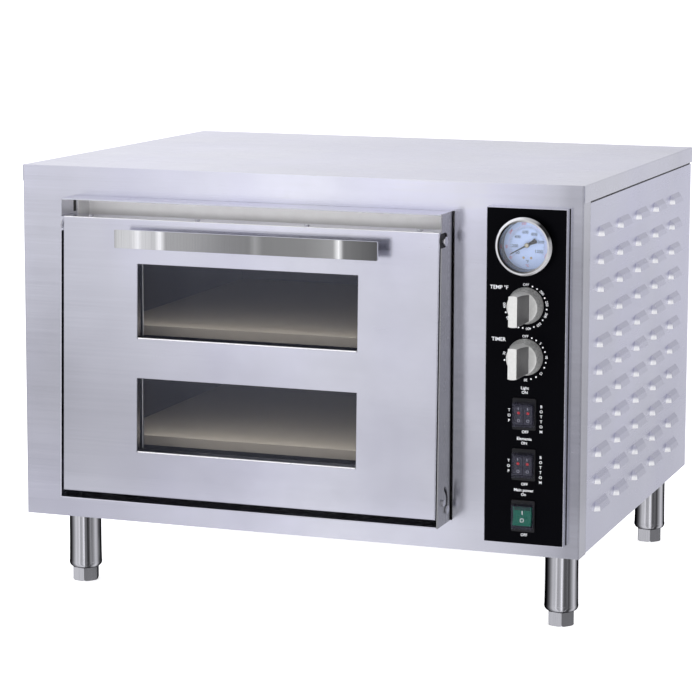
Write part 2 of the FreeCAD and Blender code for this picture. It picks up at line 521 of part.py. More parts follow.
def insulation():
    """Mineral wool slabs round both liners."""
    edge = SHEET + LINER_CLEAR
    x0, x1, y0, back = SUR_X0 + HOLE_CLEAR, SUR_X1 - HOLE_CLEAR, FACE_Y + edge, CH_BACK + edge
    low, high = SUR_Z0 + WOOL_EDGE, SUR_Z1 - WOOL_EDGE
    inner0, inner1 = CH_X0 - edge, CH_X1 + edge
    (lo0, hi0), (lo1, hi1) = chamber_openings()
    slabs = [box(inner0, inner1, y0, back, hi1 + edge, high),
             box(inner0, inner1, y0, back, hi0 + edge, lo1 - edge),
             box(inner0, inner1, y0, back, low, lo0 - edge),
             box(x0, inner0, y0, back, low, high),
             box(inner1, x1, y0, back, low, high),
             box(x0, x1, back, back + WOOL_T, low, high)]
    side = [(PROBE_R, y, z) for y, z in probe_places()]
    holes = []
    for lo, hi in chamber_openings():
        side.append((LAMP_R, LAMP_Y, lo + LAMP_LIFT))
        holes += [rod(ELEMENT_R + WOOL_EDGE, V(x, back - 1, z), V(x, back + WOOL_T + 1, z))
                  for x, z in element_terminals(lo, hi)]
    holes += [rod(r + HOLE_CLEAR, V(inner1 - 1, y, z), V(x1 + 1, y, z)) for r, y, z in side]
    return Part.makeCompound([cut_all(slab, holes) for slab in slabs])


def baking_stones():
    stones = []
    for lo, _ in chamber_openings():
        z0 = lo + STONE_LIFT
        stone = box(CH_X0 + STONE_SIDE, CH_X1 - STONE_SIDE, FACE_Y + SHEET + STONE_END, CH_BACK - STONE_END,
                    z0, z0 + STONE_T)
        stones.append(stone.makeFillet(STONE_CORNER, edges_along(stone, Z_AXIS)))
    return Part.makeCompound(stones)


def element(z):
    """Tubular heating element: four runs joined by half circles, both terminals through the back wall."""
    tail = CH_BACK + ELEMENT_TAIL
    runs = [CH_MID - ELEMENT_RUNS_HALF + i * ELEMENT_STEP for i in range(4)]
    pieces = []
    for x, end in zip(runs, (tail, ELEMENT_REAR, ELEMENT_REAR, tail)):
        pieces.append(rod(ELEMENT_R, V(x, ELEMENT_FRONT, z), V(x, end, z)))
    for x, y, turn in zip(runs, (ELEMENT_FRONT, ELEMENT_REAR, ELEMENT_FRONT), (180, -180, 180)):
        disc = Part.Face(Part.Wire(Part.makeCircle(ELEMENT_R, V(x, y, z), Y_AXIS)))
        pieces.append(disc.revolve(V(x + ELEMENT_STEP / 2, y, z), Z_AXIS, turn))
    for x in (runs[0], runs[-1]):
        pieces.append(rod(TERMINAL_R, V(x, tail, z), V(x, tail + TERMINAL_L, z)))
    return fuse_all(pieces)


def elements(deck):
    lo, hi = chamber_openings()[deck]
    return Part.makeCompound([element(lo + ELEMENT_LIFT), element(hi - ELEMENT_DROP)])


def lamp_housings():
    """Lamp holder with its bulb boss, set in the right wall of each chamber."""
    pieces = []
    for lo, _ in chamber_openings():
        z = lo + LAMP_LIFT
        end = CH_X1 + LAMP_DEPTH
        pieces.append(fuse_all([rod(LAMP_R, V(CH_X1 + REST, LAMP_Y, z), V(end, LAMP_Y, z)),
                                rod(LAMP_BOSS_R, V(end, LAMP_Y, z), V(end + LAMP_BOSS_L, LAMP_Y, z))]))
    return Part.makeCompound(pieces)


def lamp_lenses():
    pieces = []
    for lo, _ in chamber_openings():
        z = lo + LAMP_LIFT
        disc = rod(LENS_R, V(CH_X1 - LENS_T, LAMP_Y, z), V(CH_X1 - REST, LAMP_Y, z))
        rim = [e for e in disc.Edges if near(e.CenterOfMass.x, CH_X1 - LENS_T) and e.Length > LENS_R]
        pieces.append(disc.makeFillet(LENS_ROUND, rim))
    return Part.makeCompound(pieces)


def sensor_probes():
    """Two bulb-and-capillary sensors: one for the dial gauge, one for the thermostat."""
    (gauge_y, gauge_z), (stat_y, stat_z) = probe_places()
    stat_x = CTRL_X - STAT_OFFSET
    rear = CASE_REAR + CLEAR
    gauge_path = [V(JOINT_X, gauge_y, gauge_z), V(CTRL_X, gauge_y, gauge_z), V(CTRL_X, gauge_y, GAUGE_Z),
                  V(CTRL_X, rear, GAUGE_Z)]
    stat_path = [V(JOINT_X, stat_y, stat_z), V(stat_x, stat_y, stat_z), V(stat_x, rear, stat_z)]
    gauge_line = bent_tube(gauge_path, CAPILLARY_R, CAPILLARY_BEND)
    stat_line = bent_tube(stat_path, CAPILLARY_R, CAPILLARY_BEND)
    tips = [rod(PROBE_R, V(JOINT_X - PROBE_L, y, z), V(JOINT_X + 1, y, z)) for y, z in probe_places()]
    return Part.makeCompound([fuse_all([tips[0], gauge_line]), fuse_all([tips[1], stat_line])])


# ---------------------------------------------------------------- door
def door_window(width, height, z, y0, y1):
    return box(WIN_MID - width / 2, WIN_MID + width / 2, y0, y1, z - height / 2, z + height / 2)


def door_front_panel():
    """Folded outer skin, with a turned-in lip round each window."""
    t = DOOR_T
    shell = box(DOOR_X0, DOOR_X1, 0, SHELL_D, DOOR_Z0, DOOR_Z1)
    shell = round_folds(shell, FOLD_R, lambda c: near(c.y, 0))
    shell = shell.cut(box(DOOR_X0 + t, DOOR_X1 - t, t, SHELL_D + THROUGH, DOOR_Z0 + t, DOOR_Z1 - t))
    lips = [door_window(WIN_W + 2 * t, WIN_H + 2 * t, z, 0, WIN_LIP) for z in WIN_Z]
    holes = [door_window(WIN_W, WIN_H, z, -THROUGH, WIN_LIP + THROUGH) for z in WIN_Z]
    skin = cut_all(fuse_all([shell] + lips), holes)
    skin = lean(round_folds(skin, WIN_FOLD_R, lambda c: near(c.y, 0) and window_rim(c)))
    span = BODY_W
    guide_y, guide_z = guide_point(GUIDE_START)
    pins = [(HINGE_R, HINGE_Y, HINGE_Z), (GUIDE_R, guide_y, guide_z), (CATCH_R, CATCH_Y, CATCH_Z)]
    cuts = [rod(r + PIN_ROOM, V(-span, y, z), V(span, y, z)) for r, y, z in pins]
    face = front_y(HANDLE_Z)
    cuts += [rod(STANDOFF_SCREW_R + PIN_ROOM, V(x, face - THROUGH, HANDLE_Z), V(x, face + THROUGH, HANDLE_Z))
             for x in standoff_places()]
    for x in door_screw_places():
        cuts.append(rod(SCREW_R + PIN_ROOM, V(x, DOOR_SCREW_Y, DOOR_Z1 - SCREW_L),
                        V(x, DOOR_SCREW_Y, DOOR_Z1 + THROUGH)))
    return cut_all(skin, cuts)


def window_rim(point):
    """True for the middle of an edge on the rim of either window opening."""
    across = abs(point.x - WIN_MID)
    for z in WIN_Z:
        up = abs(point.z - z)
        if (near(across, WIN_W / 2) and up < 1) or (near(up, WIN_H / 2) and across < 1):
            return True
    return False


def inner_front(z):
    """Where the inner panel's flange meets the back of the outer skin."""
    return front_y(z) + SHELL_D / math.cos(LEAN)


def wedge(x0, x1, z0, z1, rear):
    """Solid from the leaning back of the skin to an upright rear face."""
    return prism_x([(inner_front(z0), z0), (rear, z0), (rear, z1), (inner_front(z1), z1)], x0, x1)


def door_inner_panel():
    """Flange that closes the skin, and a pressed plug that fills the throat, with two window openings."""
    t = INNER_T
    flange = lean(box(DOOR_X0, DOOR_X1, SHELL_D, SHELL_D + t, DOOR_Z0, DOOR_Z1))
    outer = wedge(PLUG_X0, PLUG_X1, PLUG_Z0, PLUG_Z1, PLUG_Y)
    inner = wedge(PLUG_X0 + t, PLUG_X1 - t, PLUG_Z0 + t, PLUG_Z1 - t, PLUG_Y - t)
    inner = inner.fuse(inner.translated(V(0, -THROUGH, 0)))
    holes = [door_window(INNER_WIN_W, INNER_WIN_H, z - INNER_WIN_DROP, PLUG_Y - THROUGH, PLUG_Y + THROUGH)
             for z in WIN_Z]
    return cut_all(fuse_all([flange, outer]), [inner] + holes)


def door_outer_glass():
    w, h = WIN_W + 2 * GLASS_LAP, WIN_H + 2 * GLASS_LAP
    panes = [lean(door_window(w, h, z, WIN_LIP + REST, WIN_LIP + REST + GLASS_T)) for z in WIN_Z]
    return Part.makeCompound(panes)


def door_inner_glass():
    w, h = INNER_WIN_W + 2 * GLASS_LAP, INNER_WIN_H + 2 * GLASS_LAP
    rear = PLUG_Y - INNER_T - REST
    return Part.makeCompound([door_window(w, h, z - INNER_WIN_DROP, rear - GLASS_T, rear) for z in WIN_Z])


def sleeve_ends(z):
    front = (WIN_W + SLEEVE_MARGIN, WIN_H + SLEEVE_MARGIN, z)
    back = (INNER_WIN_W + SLEEVE_MARGIN, INNER_WIN_H + SLEEVE_MARGIN, z - INNER_WIN_DROP)
    return front, back


def grown(opening, by):
    width, height, z = opening
    return width + by, height + by, z


def window_sleeves():
    """Black flared sleeves between the outer and inner panes."""
    sleeves = []
    for z in WIN_Z:
        y0 = front_y(z - WIN_H / 2) + WIN_LIP + GLASS_T + SLEEVE_START
        y1 = PLUG_Y - INNER_T - GLASS_T - CLEAR
        front, back = sleeve_ends(z)
        inner = frustum(front, back, y0 - OVERCUT, y1 + OVERCUT)
        outer = frustum(grown(front, 2 * SLEEVE_T), grown(back, 2 * SLEEVE_T), y0, y1)
        sleeves.append(outer.cut(inner))
    return Part.makeCompound(sleeves)


def door_insulation():
    """Wool above, between and below the window sleeves."""
    x0, x1 = DOOR_X0 + WOOL_INSET, DOOR_X1 - WOOL_INSET
    gap = SLEEVE_MARGIN + INNER_WIN_H / 2
    low, high = (z - INNER_WIN_DROP for z in WIN_Z)
    bands = ((high + gap, PLUG_Z1 - WOOL_ROOM), (low + gap, high - gap), (PLUG_Z0 + WOOL_ROOM, low - gap))
    slabs = []
    for z0, z1 in bands:
        front = front_y(z0) + WIN_LIP + GLASS_T + THROUGH
        slabs.append(box(x0, x1, front, PLUG_Y - WOOL_ROOM - GLASS_T, z0, z1))
    return Part.makeCompound(slabs)


def door_gasket():
    """Woven rope seal round the plug's rear face."""
    y0, y1 = PLUG_Y + REST, FACE_Y - CLEAR
    outer = box(PLUG_X0 + SEAL_SIDE, PLUG_X1 - SEAL_SIDE, y0, y1, PLUG_Z0 + SEAL_EDGE, PLUG_Z1 - SEAL_EDGE)
    inner = box(CH_X0 - SEAL_SIDE, CH_X1 + SEAL_SIDE, y0 - 1, y1 + 1,
                PLUG_Z0 + SEAL_BAND, PLUG_Z1 - SEAL_BAND)
    return outer.cut(inner)


def standoff_places():
    return [HANDLE_X + s * STANDOFF_X for s in (-1, 1)]


def door_handle():
    z0 = HANDLE_Z - HANDLE_H / 2
    strap = box(HANDLE_X - HANDLE_L / 2, HANDLE_X + HANDLE_L / 2, -HANDLE_REACH, -HANDLE_REACH + HANDLE_T,
                z0, z0 + HANDLE_H)
    return strap.makeFillet(HANDLE_CORNER, edges_along(strap, Y_AXIS))


def handle_standoffs():
    """Turned posts behind the strap, screwed through the skin."""
    face = front_y(HANDLE_Z)
    posts = []
    for x in standoff_places():
        post = rod(STANDOFF_R, V(x, -HANDLE_REACH + HANDLE_T + FIT, HANDLE_Z), V(x, face - CLEAR, HANDLE_Z))
        screw = rod(STANDOFF_SCREW_R, V(x, face - 1, HANDLE_Z), V(x, face + STANDOFF_SCREW_L, HANDLE_Z))
        nut = rod(STANDOFF_NUT_R, V(x, face + STANDOFF_NUT_Y, HANDLE_Z),
                  V(x, face + STANDOFF_NUT_Y + STANDOFF_NUT_T, HANDLE_Z))
        posts.append(fuse_all([post, screw, nut]))
    return Part.makeCompound(posts)


def door_screw_places():
    return [DOOR_X0 + DOOR_SCREW_X + DOOR_SCREW_PITCH * i for i in range(DOOR_SCREW_COUNT)]


def door_screws():
    """Pan-head screws in the door's top fold."""
    y, seat = DOOR_SCREW_Y, DOOR_Z1 + CLEAR
    screws = []
    for x in door_screw_places():
        screws.append(fuse_all([rod(DOOR_HEAD_R, V(x, y, seat), V(x, y, seat + DOOR_HEAD_T)),
                                rod(SCREW_R, V(x, y, DOOR_Z1 - SCREW_L), V(x, y, seat))]))
    return Part.makeCompound(screws)


def side_pin(radius, y, z, sign, head):
    """Pin from inside the door's side fold out through a cheek; sign is -1 for the left side."""
    skin = DOOR_X1 if sign > 0 else DOOR_X0
    cheek_out = SUR_X1 if sign > 0 else SUR_X0

    def at(x):
        return V(x, y, z)

    pieces = [rod(radius, at(skin - sign * PIN_IN), at(cheek_out + sign * PIN_OUT)),
              rod(radius + PIN_COLLAR_R, at(skin - sign * PIN_COLLAR_L), at(skin - sign * (DOOR_T + REST)))]
    if head:
        pieces.append(rod(head, at(cheek_out + sign * EDGE_GAP), at(cheek_out + sign * (PIN_OUT - REST))))
    return fuse_all(pieces)


def hinge_pins():
    return Part.makeCompound([side_pin(HINGE_R, HINGE_Y, HINGE_Z, s, 0) for s in (-1, 1)])


def door_side_pins():
    """Guide pins that travel in the arc slots and stop the door, and catch pins that sit in the notches."""
    guide_y, guide_z = guide_point(GUIDE_START)
    pins = [side_pin(GUIDE_R, guide_y, guide_z, s, GUIDE_HEAD_R) for s in (-1, 1)]
    pins += [side_pin(CATCH_R, CATCH_Y, CATCH_Z, s, CATCH_HEAD_R) for s in (-1, 1)]
    return Part.makeCompound(pins)


# ---------------------------------------------------------------- controls
def control_cutouts():
    """Tools for the openings shared by the tray and its overlay."""
    y0, y1 = -TRAY_OUT - THROUGH, THROUGH
    cuts = [rod(GAUGE_BARREL_R + CLEAR, V(CTRL_X, y0, GAUGE_Z), V(CTRL_X, y1, GAUGE_Z))]
    cuts += [rod(NOSE_HOLE_R, V(CTRL_X, y0, z), V(CTRL_X, y1, z)) for z in (TEMP_Z, TIMER_Z)]
    for z in SWITCH_Z:
        cuts.append(box(CTRL_X - SWITCH_CUT_W, CTRL_X + SWITCH_CUT_W, y0, y1,
                        z - SWITCH_CUT_H, z + SWITCH_CUT_H))
    return cuts


def control_tray():
    x0, x1 = CTRL_X - CTRL_W / 2, CTRL_X + CTRL_W / 2
    tray = box(x0, x1, -TRAY_OUT, -FIT, CTRL_Z0, CTRL_Z1)
    tray = round_folds(tray, OVERLAY_INSET, lambda c: near(c.y, -TRAY_OUT))
    tray = tray.cut(box(x0 + SHEET, x1 - SHEET, -TRAY_OUT + SHEET, THROUGH, CTRL_Z0 + SHEET, CTRL_Z1 - SHEET))
    return cut_all(tray, control_cutouts())


def control_overlay():
    """Printed face sheet, on the flat of the tray."""
    y1 = -TRAY_OUT - OVERLAY_GLUE
    half = CTRL_W / 2 - OVERLAY_INSET
    sheet = box(CTRL_X - half, CTRL_X + half, y1 - OVERLAY_T, y1,
                CTRL_Z0 + OVERLAY_INSET, CTRL_Z1 - OVERLAY_INSET)
    return cut_all(sheet, control_cutouts())


def gauge_rod(radius, y0, y1):
    """Bar on the gauge's axis."""
    return rod(radius, V(CTRL_X, y0, GAUGE_Z), V(CTRL_X, y1, GAUGE_Z))


def gauge_case():
    """Dial thermometer case: rear barrel through the panel, front cup and a rounded chrome bezel."""
    front = GAUGE_FRONT
    barrel = gauge_rod(GAUGE_BARREL_R, GAUGE_FACE, GAUGE_REAR)
    boss = gauge_rod(GAUGE_BOSS_R, GAUGE_REAR, CASE_REAR)
    cup = gauge_rod(GAUGE_CUP_R, GAUGE_FACE, front + GAUGE_BEZEL_D / 2)
    bezel = gauge_rod(GAUGE_R, front + GAUGE_BEZEL_D, front)
    bezel = bezel.makeFillet(GAUGE_ROUND, [e for e in bezel.Edges
                                           if e.Length > 2 * GAUGE_R and near(e.CenterOfMass.y, front)])
    room = gauge_rod(GAUGE_ROOM_R, DIAL_Y + DIAL_T, front - THROUGH)
    lip = gauge_rod(GAUGE_LIP_R, front + GAUGE_LIP_D, front - THROUGH)
    spindle = gauge_rod(SPINDLE_R, DIAL_Y, DIAL_Y + SPINDLE_L + 1)
    return cut_all(fuse_all([barrel, boss, cup, bezel]), [room, lip, spindle])


def gauge_dial():
    y0 = DIAL_Y - REST
    return gauge_rod(DIAL_R, y0, y0 + DIAL_T).cut(gauge_rod(DIAL_HOLE_R, y0 - 1, y0 + 2))


def gauge_lens():
    y0 = GAUGE_FRONT + LENS_FRONT_DROP
    return gauge_rod(DIAL_R, y0, y0 + GAUGE_LENS_T)


def gauge_pointer():
    """Needle with a counterweight tail, on a spindle that runs in the case."""
    y1 = DIAL_Y - NEEDLE_LIFT
    y0 = y1 - NEEDLE_T
    tip, tail = NEEDLE_TIP, NEEDLE_TAIL
    point, waist, heel = NEEDLE_HALF
    outline = [(-tip, point), (-tip, -point), (0, -waist), (tail, -heel), (tail, heel), (0, waist)]
    corners = [V(CTRL_X + x, y0, GAUGE_Z + z) for x, z in outline]
    blade = Part.Face(Part.makePolygon(corners + corners[:1])).extrude(V(0, NEEDLE_T, 0))
    hub = gauge_rod(HUB_R, y0 - HUB_RISE, y1 + HUB_RISE)
    spindle = gauge_rod(SPINDLE_R - FIT, y1, DIAL_Y + SPINDLE_L)
    pointer = fuse_all([blade, hub, spindle])
    pointer.rotate(V(CTRL_X, 0, GAUGE_Z), Y_AXIS, NEEDLE_REST)
    return pointer


def knob(z):
    """Conical knob with a raised grip blade, hollowed a little down each side."""
    base = V(CTRL_X, KNOB_BASE, z)
    skirt = Part.makeCone(KNOB_R, KNOB_GRIP_R, KNOB_BASE - KNOB_FLOOR, base, -Y_AXIS)
    skirt = skirt.makeFillet(KNOB_ROUND, [e for e in skirt.Edges if near(e.CenterOfMass.y, KNOB_FLOOR)
                                          and e.Length > KNOB_R])
    grip = rod(KNOB_GRIP_R, V(CTRL_X, KNOB_FLOOR + 2, z), V(CTRL_X, KNOB_FRONT, z))
    low = z - KNOB_R
    flanks = []
    for s in (-1, 1):
        root = V(CTRL_X + s * GRIP_ROOT, KNOB_FLOOR, low)
        waist = V(CTRL_X + s * GRIP_MIDDLE, (KNOB_FLOOR + KNOB_FRONT) / 2, low)
        crest = V(CTRL_X + s * GRIP_FRONT, KNOB_FRONT, low)
        flanks.append((root, waist, crest))
    (root_a, waist_a, crest_a), (root_b, waist_b, crest_b) = flanks
    heel = V(0, THROUGH, 0)
    wire = Part.Wire([Part.Arc(root_a, waist_a, crest_a).toShape(), Part.makeLine(crest_a, crest_b),
                      Part.Arc(crest_b, waist_b, root_b).toShape(), Part.makeLine(root_b, root_b + heel),
                      Part.makeLine(root_b + heel, root_a + heel), Part.makeLine(root_a + heel, root_a)])
    blade = grip.common(Part.Face(wire).extrude(V(0, 0, 2 * KNOB_R)))
    shape = fuse_all([skirt, blade])
    return shape.cut(rod(SHAFT_R + FIT, base + V(0, 1, 0), base - V(0, KNOB_BORE, 0)))


def control_shaft(z):
    """Spindle with a flat, from the knob into its instrument."""
    shaft = rod(SHAFT_R, V(CTRL_X, SHAFT_TIP, z), V(CTRL_X, SHAFT_END, z))
    flat = box(CTRL_X - SHAFT_R, CTRL_X + SHAFT_R, SHAFT_TIP - 1, SHAFT_TIP + SHAFT_FLAT_L,
               z + SHAFT_R - SHAFT_FLAT, z + SHAFT_R + 1)
    return shaft.cut(flat)


def instrument(z, half):
    """Thermostat or timer body behind the tray, with a bore for its shaft."""
    inside = -TRAY_OUT + SHEET
    case = box(CTRL_X - half, CTRL_X + half, inside + REST, CASE_REAR, z - half, z + half)
    case = case.makeFillet(CASE_CORNER, edges_along(case, Y_AXIS))
    nose = rod(NOSE_R, V(CTRL_X, -TRAY_OUT + FIT, z), V(CTRL_X, inside + CLEAR, z))
    bore = rod(SHAFT_R + FIT, V(CTRL_X, -TRAY_OUT - THROUGH, z), V(CTRL_X, SHAFT_END + 1, z))
    return fuse_all([case, nose]).cut(bore)


def switch_bodies():
    face = -TRAY_OUT - OVERLAY_T - FIT
    bodies = []
    for z in SWITCH_Z:
        flange = box(CTRL_X - SWITCH_W / 2, CTRL_X + SWITCH_W / 2, face - SWITCH_RIM, face,
                     z - SWITCH_H / 2, z + SWITCH_H / 2)
        flange = flange.makeFillet(SWITCH_CORNER, edges_along(flange, Y_AXIS))
        neck = box(CTRL_X - NECK_W, CTRL_X + NECK_W, face, NECK_END, z - NECK_H, z + NECK_H)
        pocket = box(CTRL_X - POCKET_W, CTRL_X + POCKET_W, face - THROUGH, face + POCKET_D,
                     z - POCKET_H, z + POCKET_H)
        tabs = [box(CTRL_X + dx - TAB_W, CTRL_X + dx + TAB_W, NECK_END, NECK_END + TAB_L,
                    z + dz - TAB_T, z + dz + TAB_T) for dx in TAB_X for dz in TAB_Z]
        bodies.append(fuse_all([flange, neck] + tabs).cut(pocket))
    return Part.makeCompound(bodies)


def rocker(z, x0, x1, tilt):
    """Rocker with a shallow V front, tilted about its pivot; a positive tilt stands its head out."""
    half, root = ROCKER_HALF_H, ROCKER_ROOT
    profile = [(ROCKER_TIP_Y, z - half), (ROCKER_WAIST_Y, z), (ROCKER_TIP_Y, z + half),
               (ROCKER_EDGE_Y, z + half), (ROCKER_ROOT_Y, z + root), (ROCKER_ROOT_Y, z - root),
               (ROCKER_EDGE_Y, z - half)]
    body = prism_x(profile, x0, x1)
    body.rotate(V(0, ROCKER_Y, z), X_AXIS, tilt)
    return body


def switch_boots():
    """Clear splash boots over the rockers."""
    face = -TRAY_OUT - OVERLAY_T - SWITCH_RIM - REST
    w, h, t = BOOT_W, BOOT_H, BOOT_T
    boots = []
    for z in SWITCH_Z:
        outer = box(CTRL_X - w, CTRL_X + w, face - BOOT_OUT, face, z - h, z + h)
        outer = round_folds(outer, BOOT_ROUND, lambda c: c.y < face - 1)
        boots.append(outer.cut(box(CTRL_X - w + t, CTRL_X + w - t, face - BOOT_OUT + t, face + THROUGH,
                                   z - h + t, z + h - t)))
    return Part.makeCompound(boots)


# ---------------------------------------------------------------- electrics
def terminal_block():
    x0, y0, z0 = GLAND_X - BLOCK_HALF, BLOCK_Y, BODY_Z0 + SHEET + REST
    y1, top = y0 + BLOCK_D, z0 + BLOCK_H
    block = box(x0, x0 + 2 * BLOCK_HALF, y0, y1, z0, top)
    poles = [x0 + BLOCK_PITCH * (i + 0.5) for i in range(BLOCK_POLES)]
    middle, wire_z = (y0 + y1) / 2, z0 + BLOCK_WIRE_Z
    holes = []
    for x in poles:
        holes.append(rod(BLOCK_SCREW_R, V(x, middle, z0 + BLOCK_SCREW_Z), V(x, middle, top + 1)))
        holes.append(rod(BLOCK_WIRE_R, V(x, y0 - 1, wire_z), V(x, y1 + 1, wire_z)))
    return cut_all(block, holes)


def cable_gland():
    """Inlet gland in the back panel, open right through for the supply cord."""
    def at(y):
        return V(GLAND_X, y, GLAND_Z)

    tip, inside, seat = BODY_D + GLAND_REACH, BODY_D - GLAND_INSIDE, BODY_D + GLAND_COLLAR_T
    body = rod(GLAND_BODY_R, at(inside), at(BODY_D + 2))
    collar = rod(GLAND_COLLAR_R, at(BODY_D + REST), at(seat))
    dome = Part.makeCone(GLAND_DOME_R, GLAND_TIP_R, tip - seat, at(seat), Y_AXIS)
    locknut = rod(GLAND_COLLAR_R, at(inside + GLAND_COLLAR_T), at(BACK_Y0 - CLEAR))
    return fuse_all([body, collar, dome, locknut]).cut(rod(CORD_R, at(inside - 1), at(tip + 1)))


# ---------------------------------------------------------------- legs
def leg_places():
    return [(s * LEG_X, y) for y in LEG_Y for s in (-1, 1)]


def leg(x, y):
    """Hollow steel leg with a rounded foot end, a threaded insert and a fixing stud."""
    r, low, top = LEG_R, LEG_BOTTOM, BODY_Z0 - LEG_END_GAP
    bore, wall, insert = STUD_R + THREAD_PLAY, LEG_R - LEG_WALL, low + LEG_INSERT_LOW
    toe, flare = V(r - LEG_TOE_IN, 0, low), V(r + LEG_FLARE, 0, low + LEG_FLARE_UP)
    bend = Part.Arc(toe, V(r - LEG_BEND_IN, 0, low + LEG_BEND_UP), flare).toShape()
    tail = [flare, V(r, 0, LEG_TAPER_Z), V(r, 0, top), V(wall, 0, top), V(wall, 0, insert),
            V(LEG_INSERT_R, 0, insert), V(LEG_INSERT_R, 0, low + LEG_INSERT_L),
            V(bore, 0, low + LEG_INSERT_L), V(bore, 0, low)]
    lines = [Part.makeLine(a, b) for a, b in zip(tail, tail[1:])]
    wire = Part.Wire([bend] + lines + [Part.makeLine(V(bore, 0, low), toe)])
    tube = Part.Face(wire).revolve(V(0, 0, 0), Z_AXIS, 360)
    cap = rod(wall, V(0, 0, top - THROUGH), V(0, 0, top))
    stud = rod(LEG_STUD_R, V(0, 0, top - THROUGH), V(0, 0, BODY_Z0 + LEG_STUD_UP))
    return fuse_all([tube, cap, stud]).translated(V(x, y, 0))


def foot(x, y):
    """Hexagonal levelling foot with its stud."""
    base = hexagon(FOOT_AF, 0, FOOT_H, x, y, FOOT_TURN)
    toe = Part.makeCone(FOOT_TOE_R, FOOT_CORNER_R, FOOT_TOE_H, V(x, y, 0))
    body = toe.fuse(rod(FOOT_CORNER_R, V(x, y, FOOT_TOE_H), V(x, y, FOOT_H + 1)))
    stud = rod(STUD_R, V(x, y, FOOT_H - 1), V(x, y, LEG_BOTTOM + FOOT_STUD_L))
    return fuse_all([base.common(body), stud])


# ---------------------------------------------------------------- assembly
def build():
    right = side_panel_right()
    parts = {
        "base_tray": base_tray(), "front_panel": front_panel(), "top_cover": top_cover(),
        "side_panel_right": right, "side_panel_left": side_panel_left(right), "back_panel": back_panel(),
        "bulkhead": bulkhead(), "cabinet_fasteners": cabinet_fasteners(),
        "surround_top": surround_plate(SUR_Z1, -1), "surround_bottom": surround_plate(SUR_Z0, 1),
        "cheek_left": cheek(SUR_X0), "cheek_right": cheek(SUR_X1 - SUR_T), "chamber_face": chamber_face(),
        "upper_chamber": chamber(1), "lower_chamber": chamber(0), "insulation": insulation(),
        "baking_stones": baking_stones(), "upper_elements": elements(1), "lower_elements": elements(0),
        "lamp_housings": lamp_housings(), "lamp_lenses": lamp_lenses(), "sensor_probes": sensor_probes(),
        "thermostat_body": instrument(TEMP_Z, THERMOSTAT_HALF), "timer_body": instrument(TIMER_Z, TIMER_HALF),
        "gauge_case": gauge_case(), "gauge_dial": gauge_dial(), "gauge_lens": gauge_lens(),
        "gauge_pointer": gauge_pointer(),
        "control_tray": control_tray(), "control_overlay": control_overlay(),
        "temperature_knob": knob(TEMP_Z), "temperature_shaft": control_shaft(TEMP_Z),
        "timer_knob": knob(TIMER_Z), "timer_shaft": control_shaft(TIMER_Z),
        "switch_bodies": switch_bodies(), "switch_boots": switch_boots(),
        "terminal_block": terminal_block(), "cable_gland": cable_gland(),
        "door_front_panel": door_front_panel(), "door_inner_panel": door_inner_panel(),
        "door_insulation": door_insulation(), "door_outer_glass": door_outer_glass(),
        "door_inner_glass": door_inner_glass(), "window_sleeves": window_sleeves(),
        "door_gasket": door_gasket(),
        "door_handle": door_handle(), "handle_standoffs": handle_standoffs(), "hinge_pins": hinge_pins(),
        "door_side_pins": door_side_pins(), "door_screws": door_screws(),
        "power_rocker": rocker(SWITCH_Z[2], CTRL_X - ROCKER_HALF_W, CTRL_X + ROCKER_HALF_W, -ROCKER_TILT),
        "legs": Part.makeCompound([leg(x, y) for x, y in leg_places()]),
    }
    for name, z in (("light", SWITCH_Z[0]), ("element", SWITCH_Z[1])):
        near_x, far_x = ROCKER_GAP, ROCKER_HALF_W
        parts[name + "_rocker_upper"] = rocker(z, CTRL_X - far_x, CTRL_X - near_x, ROCKER_TILT)
        parts[name + "_rocker_lower"] = rocker(z, CTRL_X + near_x, CTRL_X + far_x, ROCKER_TILT)
    corners = ("front_left", "front_right", "rear_left", "rear_right")
    for corner, (x, y) in zip(corners, leg_places()):
        parts["foot_" + corner] = foot(x, y)
    return parts


os.makedirs("parts", exist_ok=True)
for name, shape in build().items():
    shape.translated(V(0, -MID_Y, 0)).exportStep("parts/" + name + ".step")
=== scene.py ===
"""Looks of the countertop double-deck baking oven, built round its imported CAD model. Metres, row frame."""
import math

import bmesh
import bpy
from mathutils import Matrix, Vector


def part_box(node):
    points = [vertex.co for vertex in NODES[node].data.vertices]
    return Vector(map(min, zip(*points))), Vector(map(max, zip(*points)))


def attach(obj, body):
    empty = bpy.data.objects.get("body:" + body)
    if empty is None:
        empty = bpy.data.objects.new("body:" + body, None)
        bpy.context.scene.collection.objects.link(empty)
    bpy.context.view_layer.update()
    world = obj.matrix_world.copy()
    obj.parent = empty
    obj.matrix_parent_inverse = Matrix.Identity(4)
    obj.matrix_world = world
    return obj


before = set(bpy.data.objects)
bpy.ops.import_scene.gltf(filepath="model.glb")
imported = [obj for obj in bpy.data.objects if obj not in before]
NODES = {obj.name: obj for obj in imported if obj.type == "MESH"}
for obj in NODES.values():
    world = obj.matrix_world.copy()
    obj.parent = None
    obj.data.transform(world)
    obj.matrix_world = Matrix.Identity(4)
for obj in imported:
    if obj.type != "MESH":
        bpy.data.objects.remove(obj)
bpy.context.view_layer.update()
MM = 0.001


def middle(node):
    """Centre of a CAD node's box."""
    low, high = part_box(node)
    return (low + high) / 2


# ---------------------------------------------------------------- camera
# Place, turn and lens that give the photo's viewing angle.
CAMERA_AT = Vector((1.099, -3.073, 0.8296))
CAMERA_YAW, CAMERA_PITCH, CAMERA_ROLL = (math.radians(a) for a in (18.76, 7.64, 0.32))
LENS, SENSOR = 131.9, 36.0
SHIFT = (-0.081, -0.116)


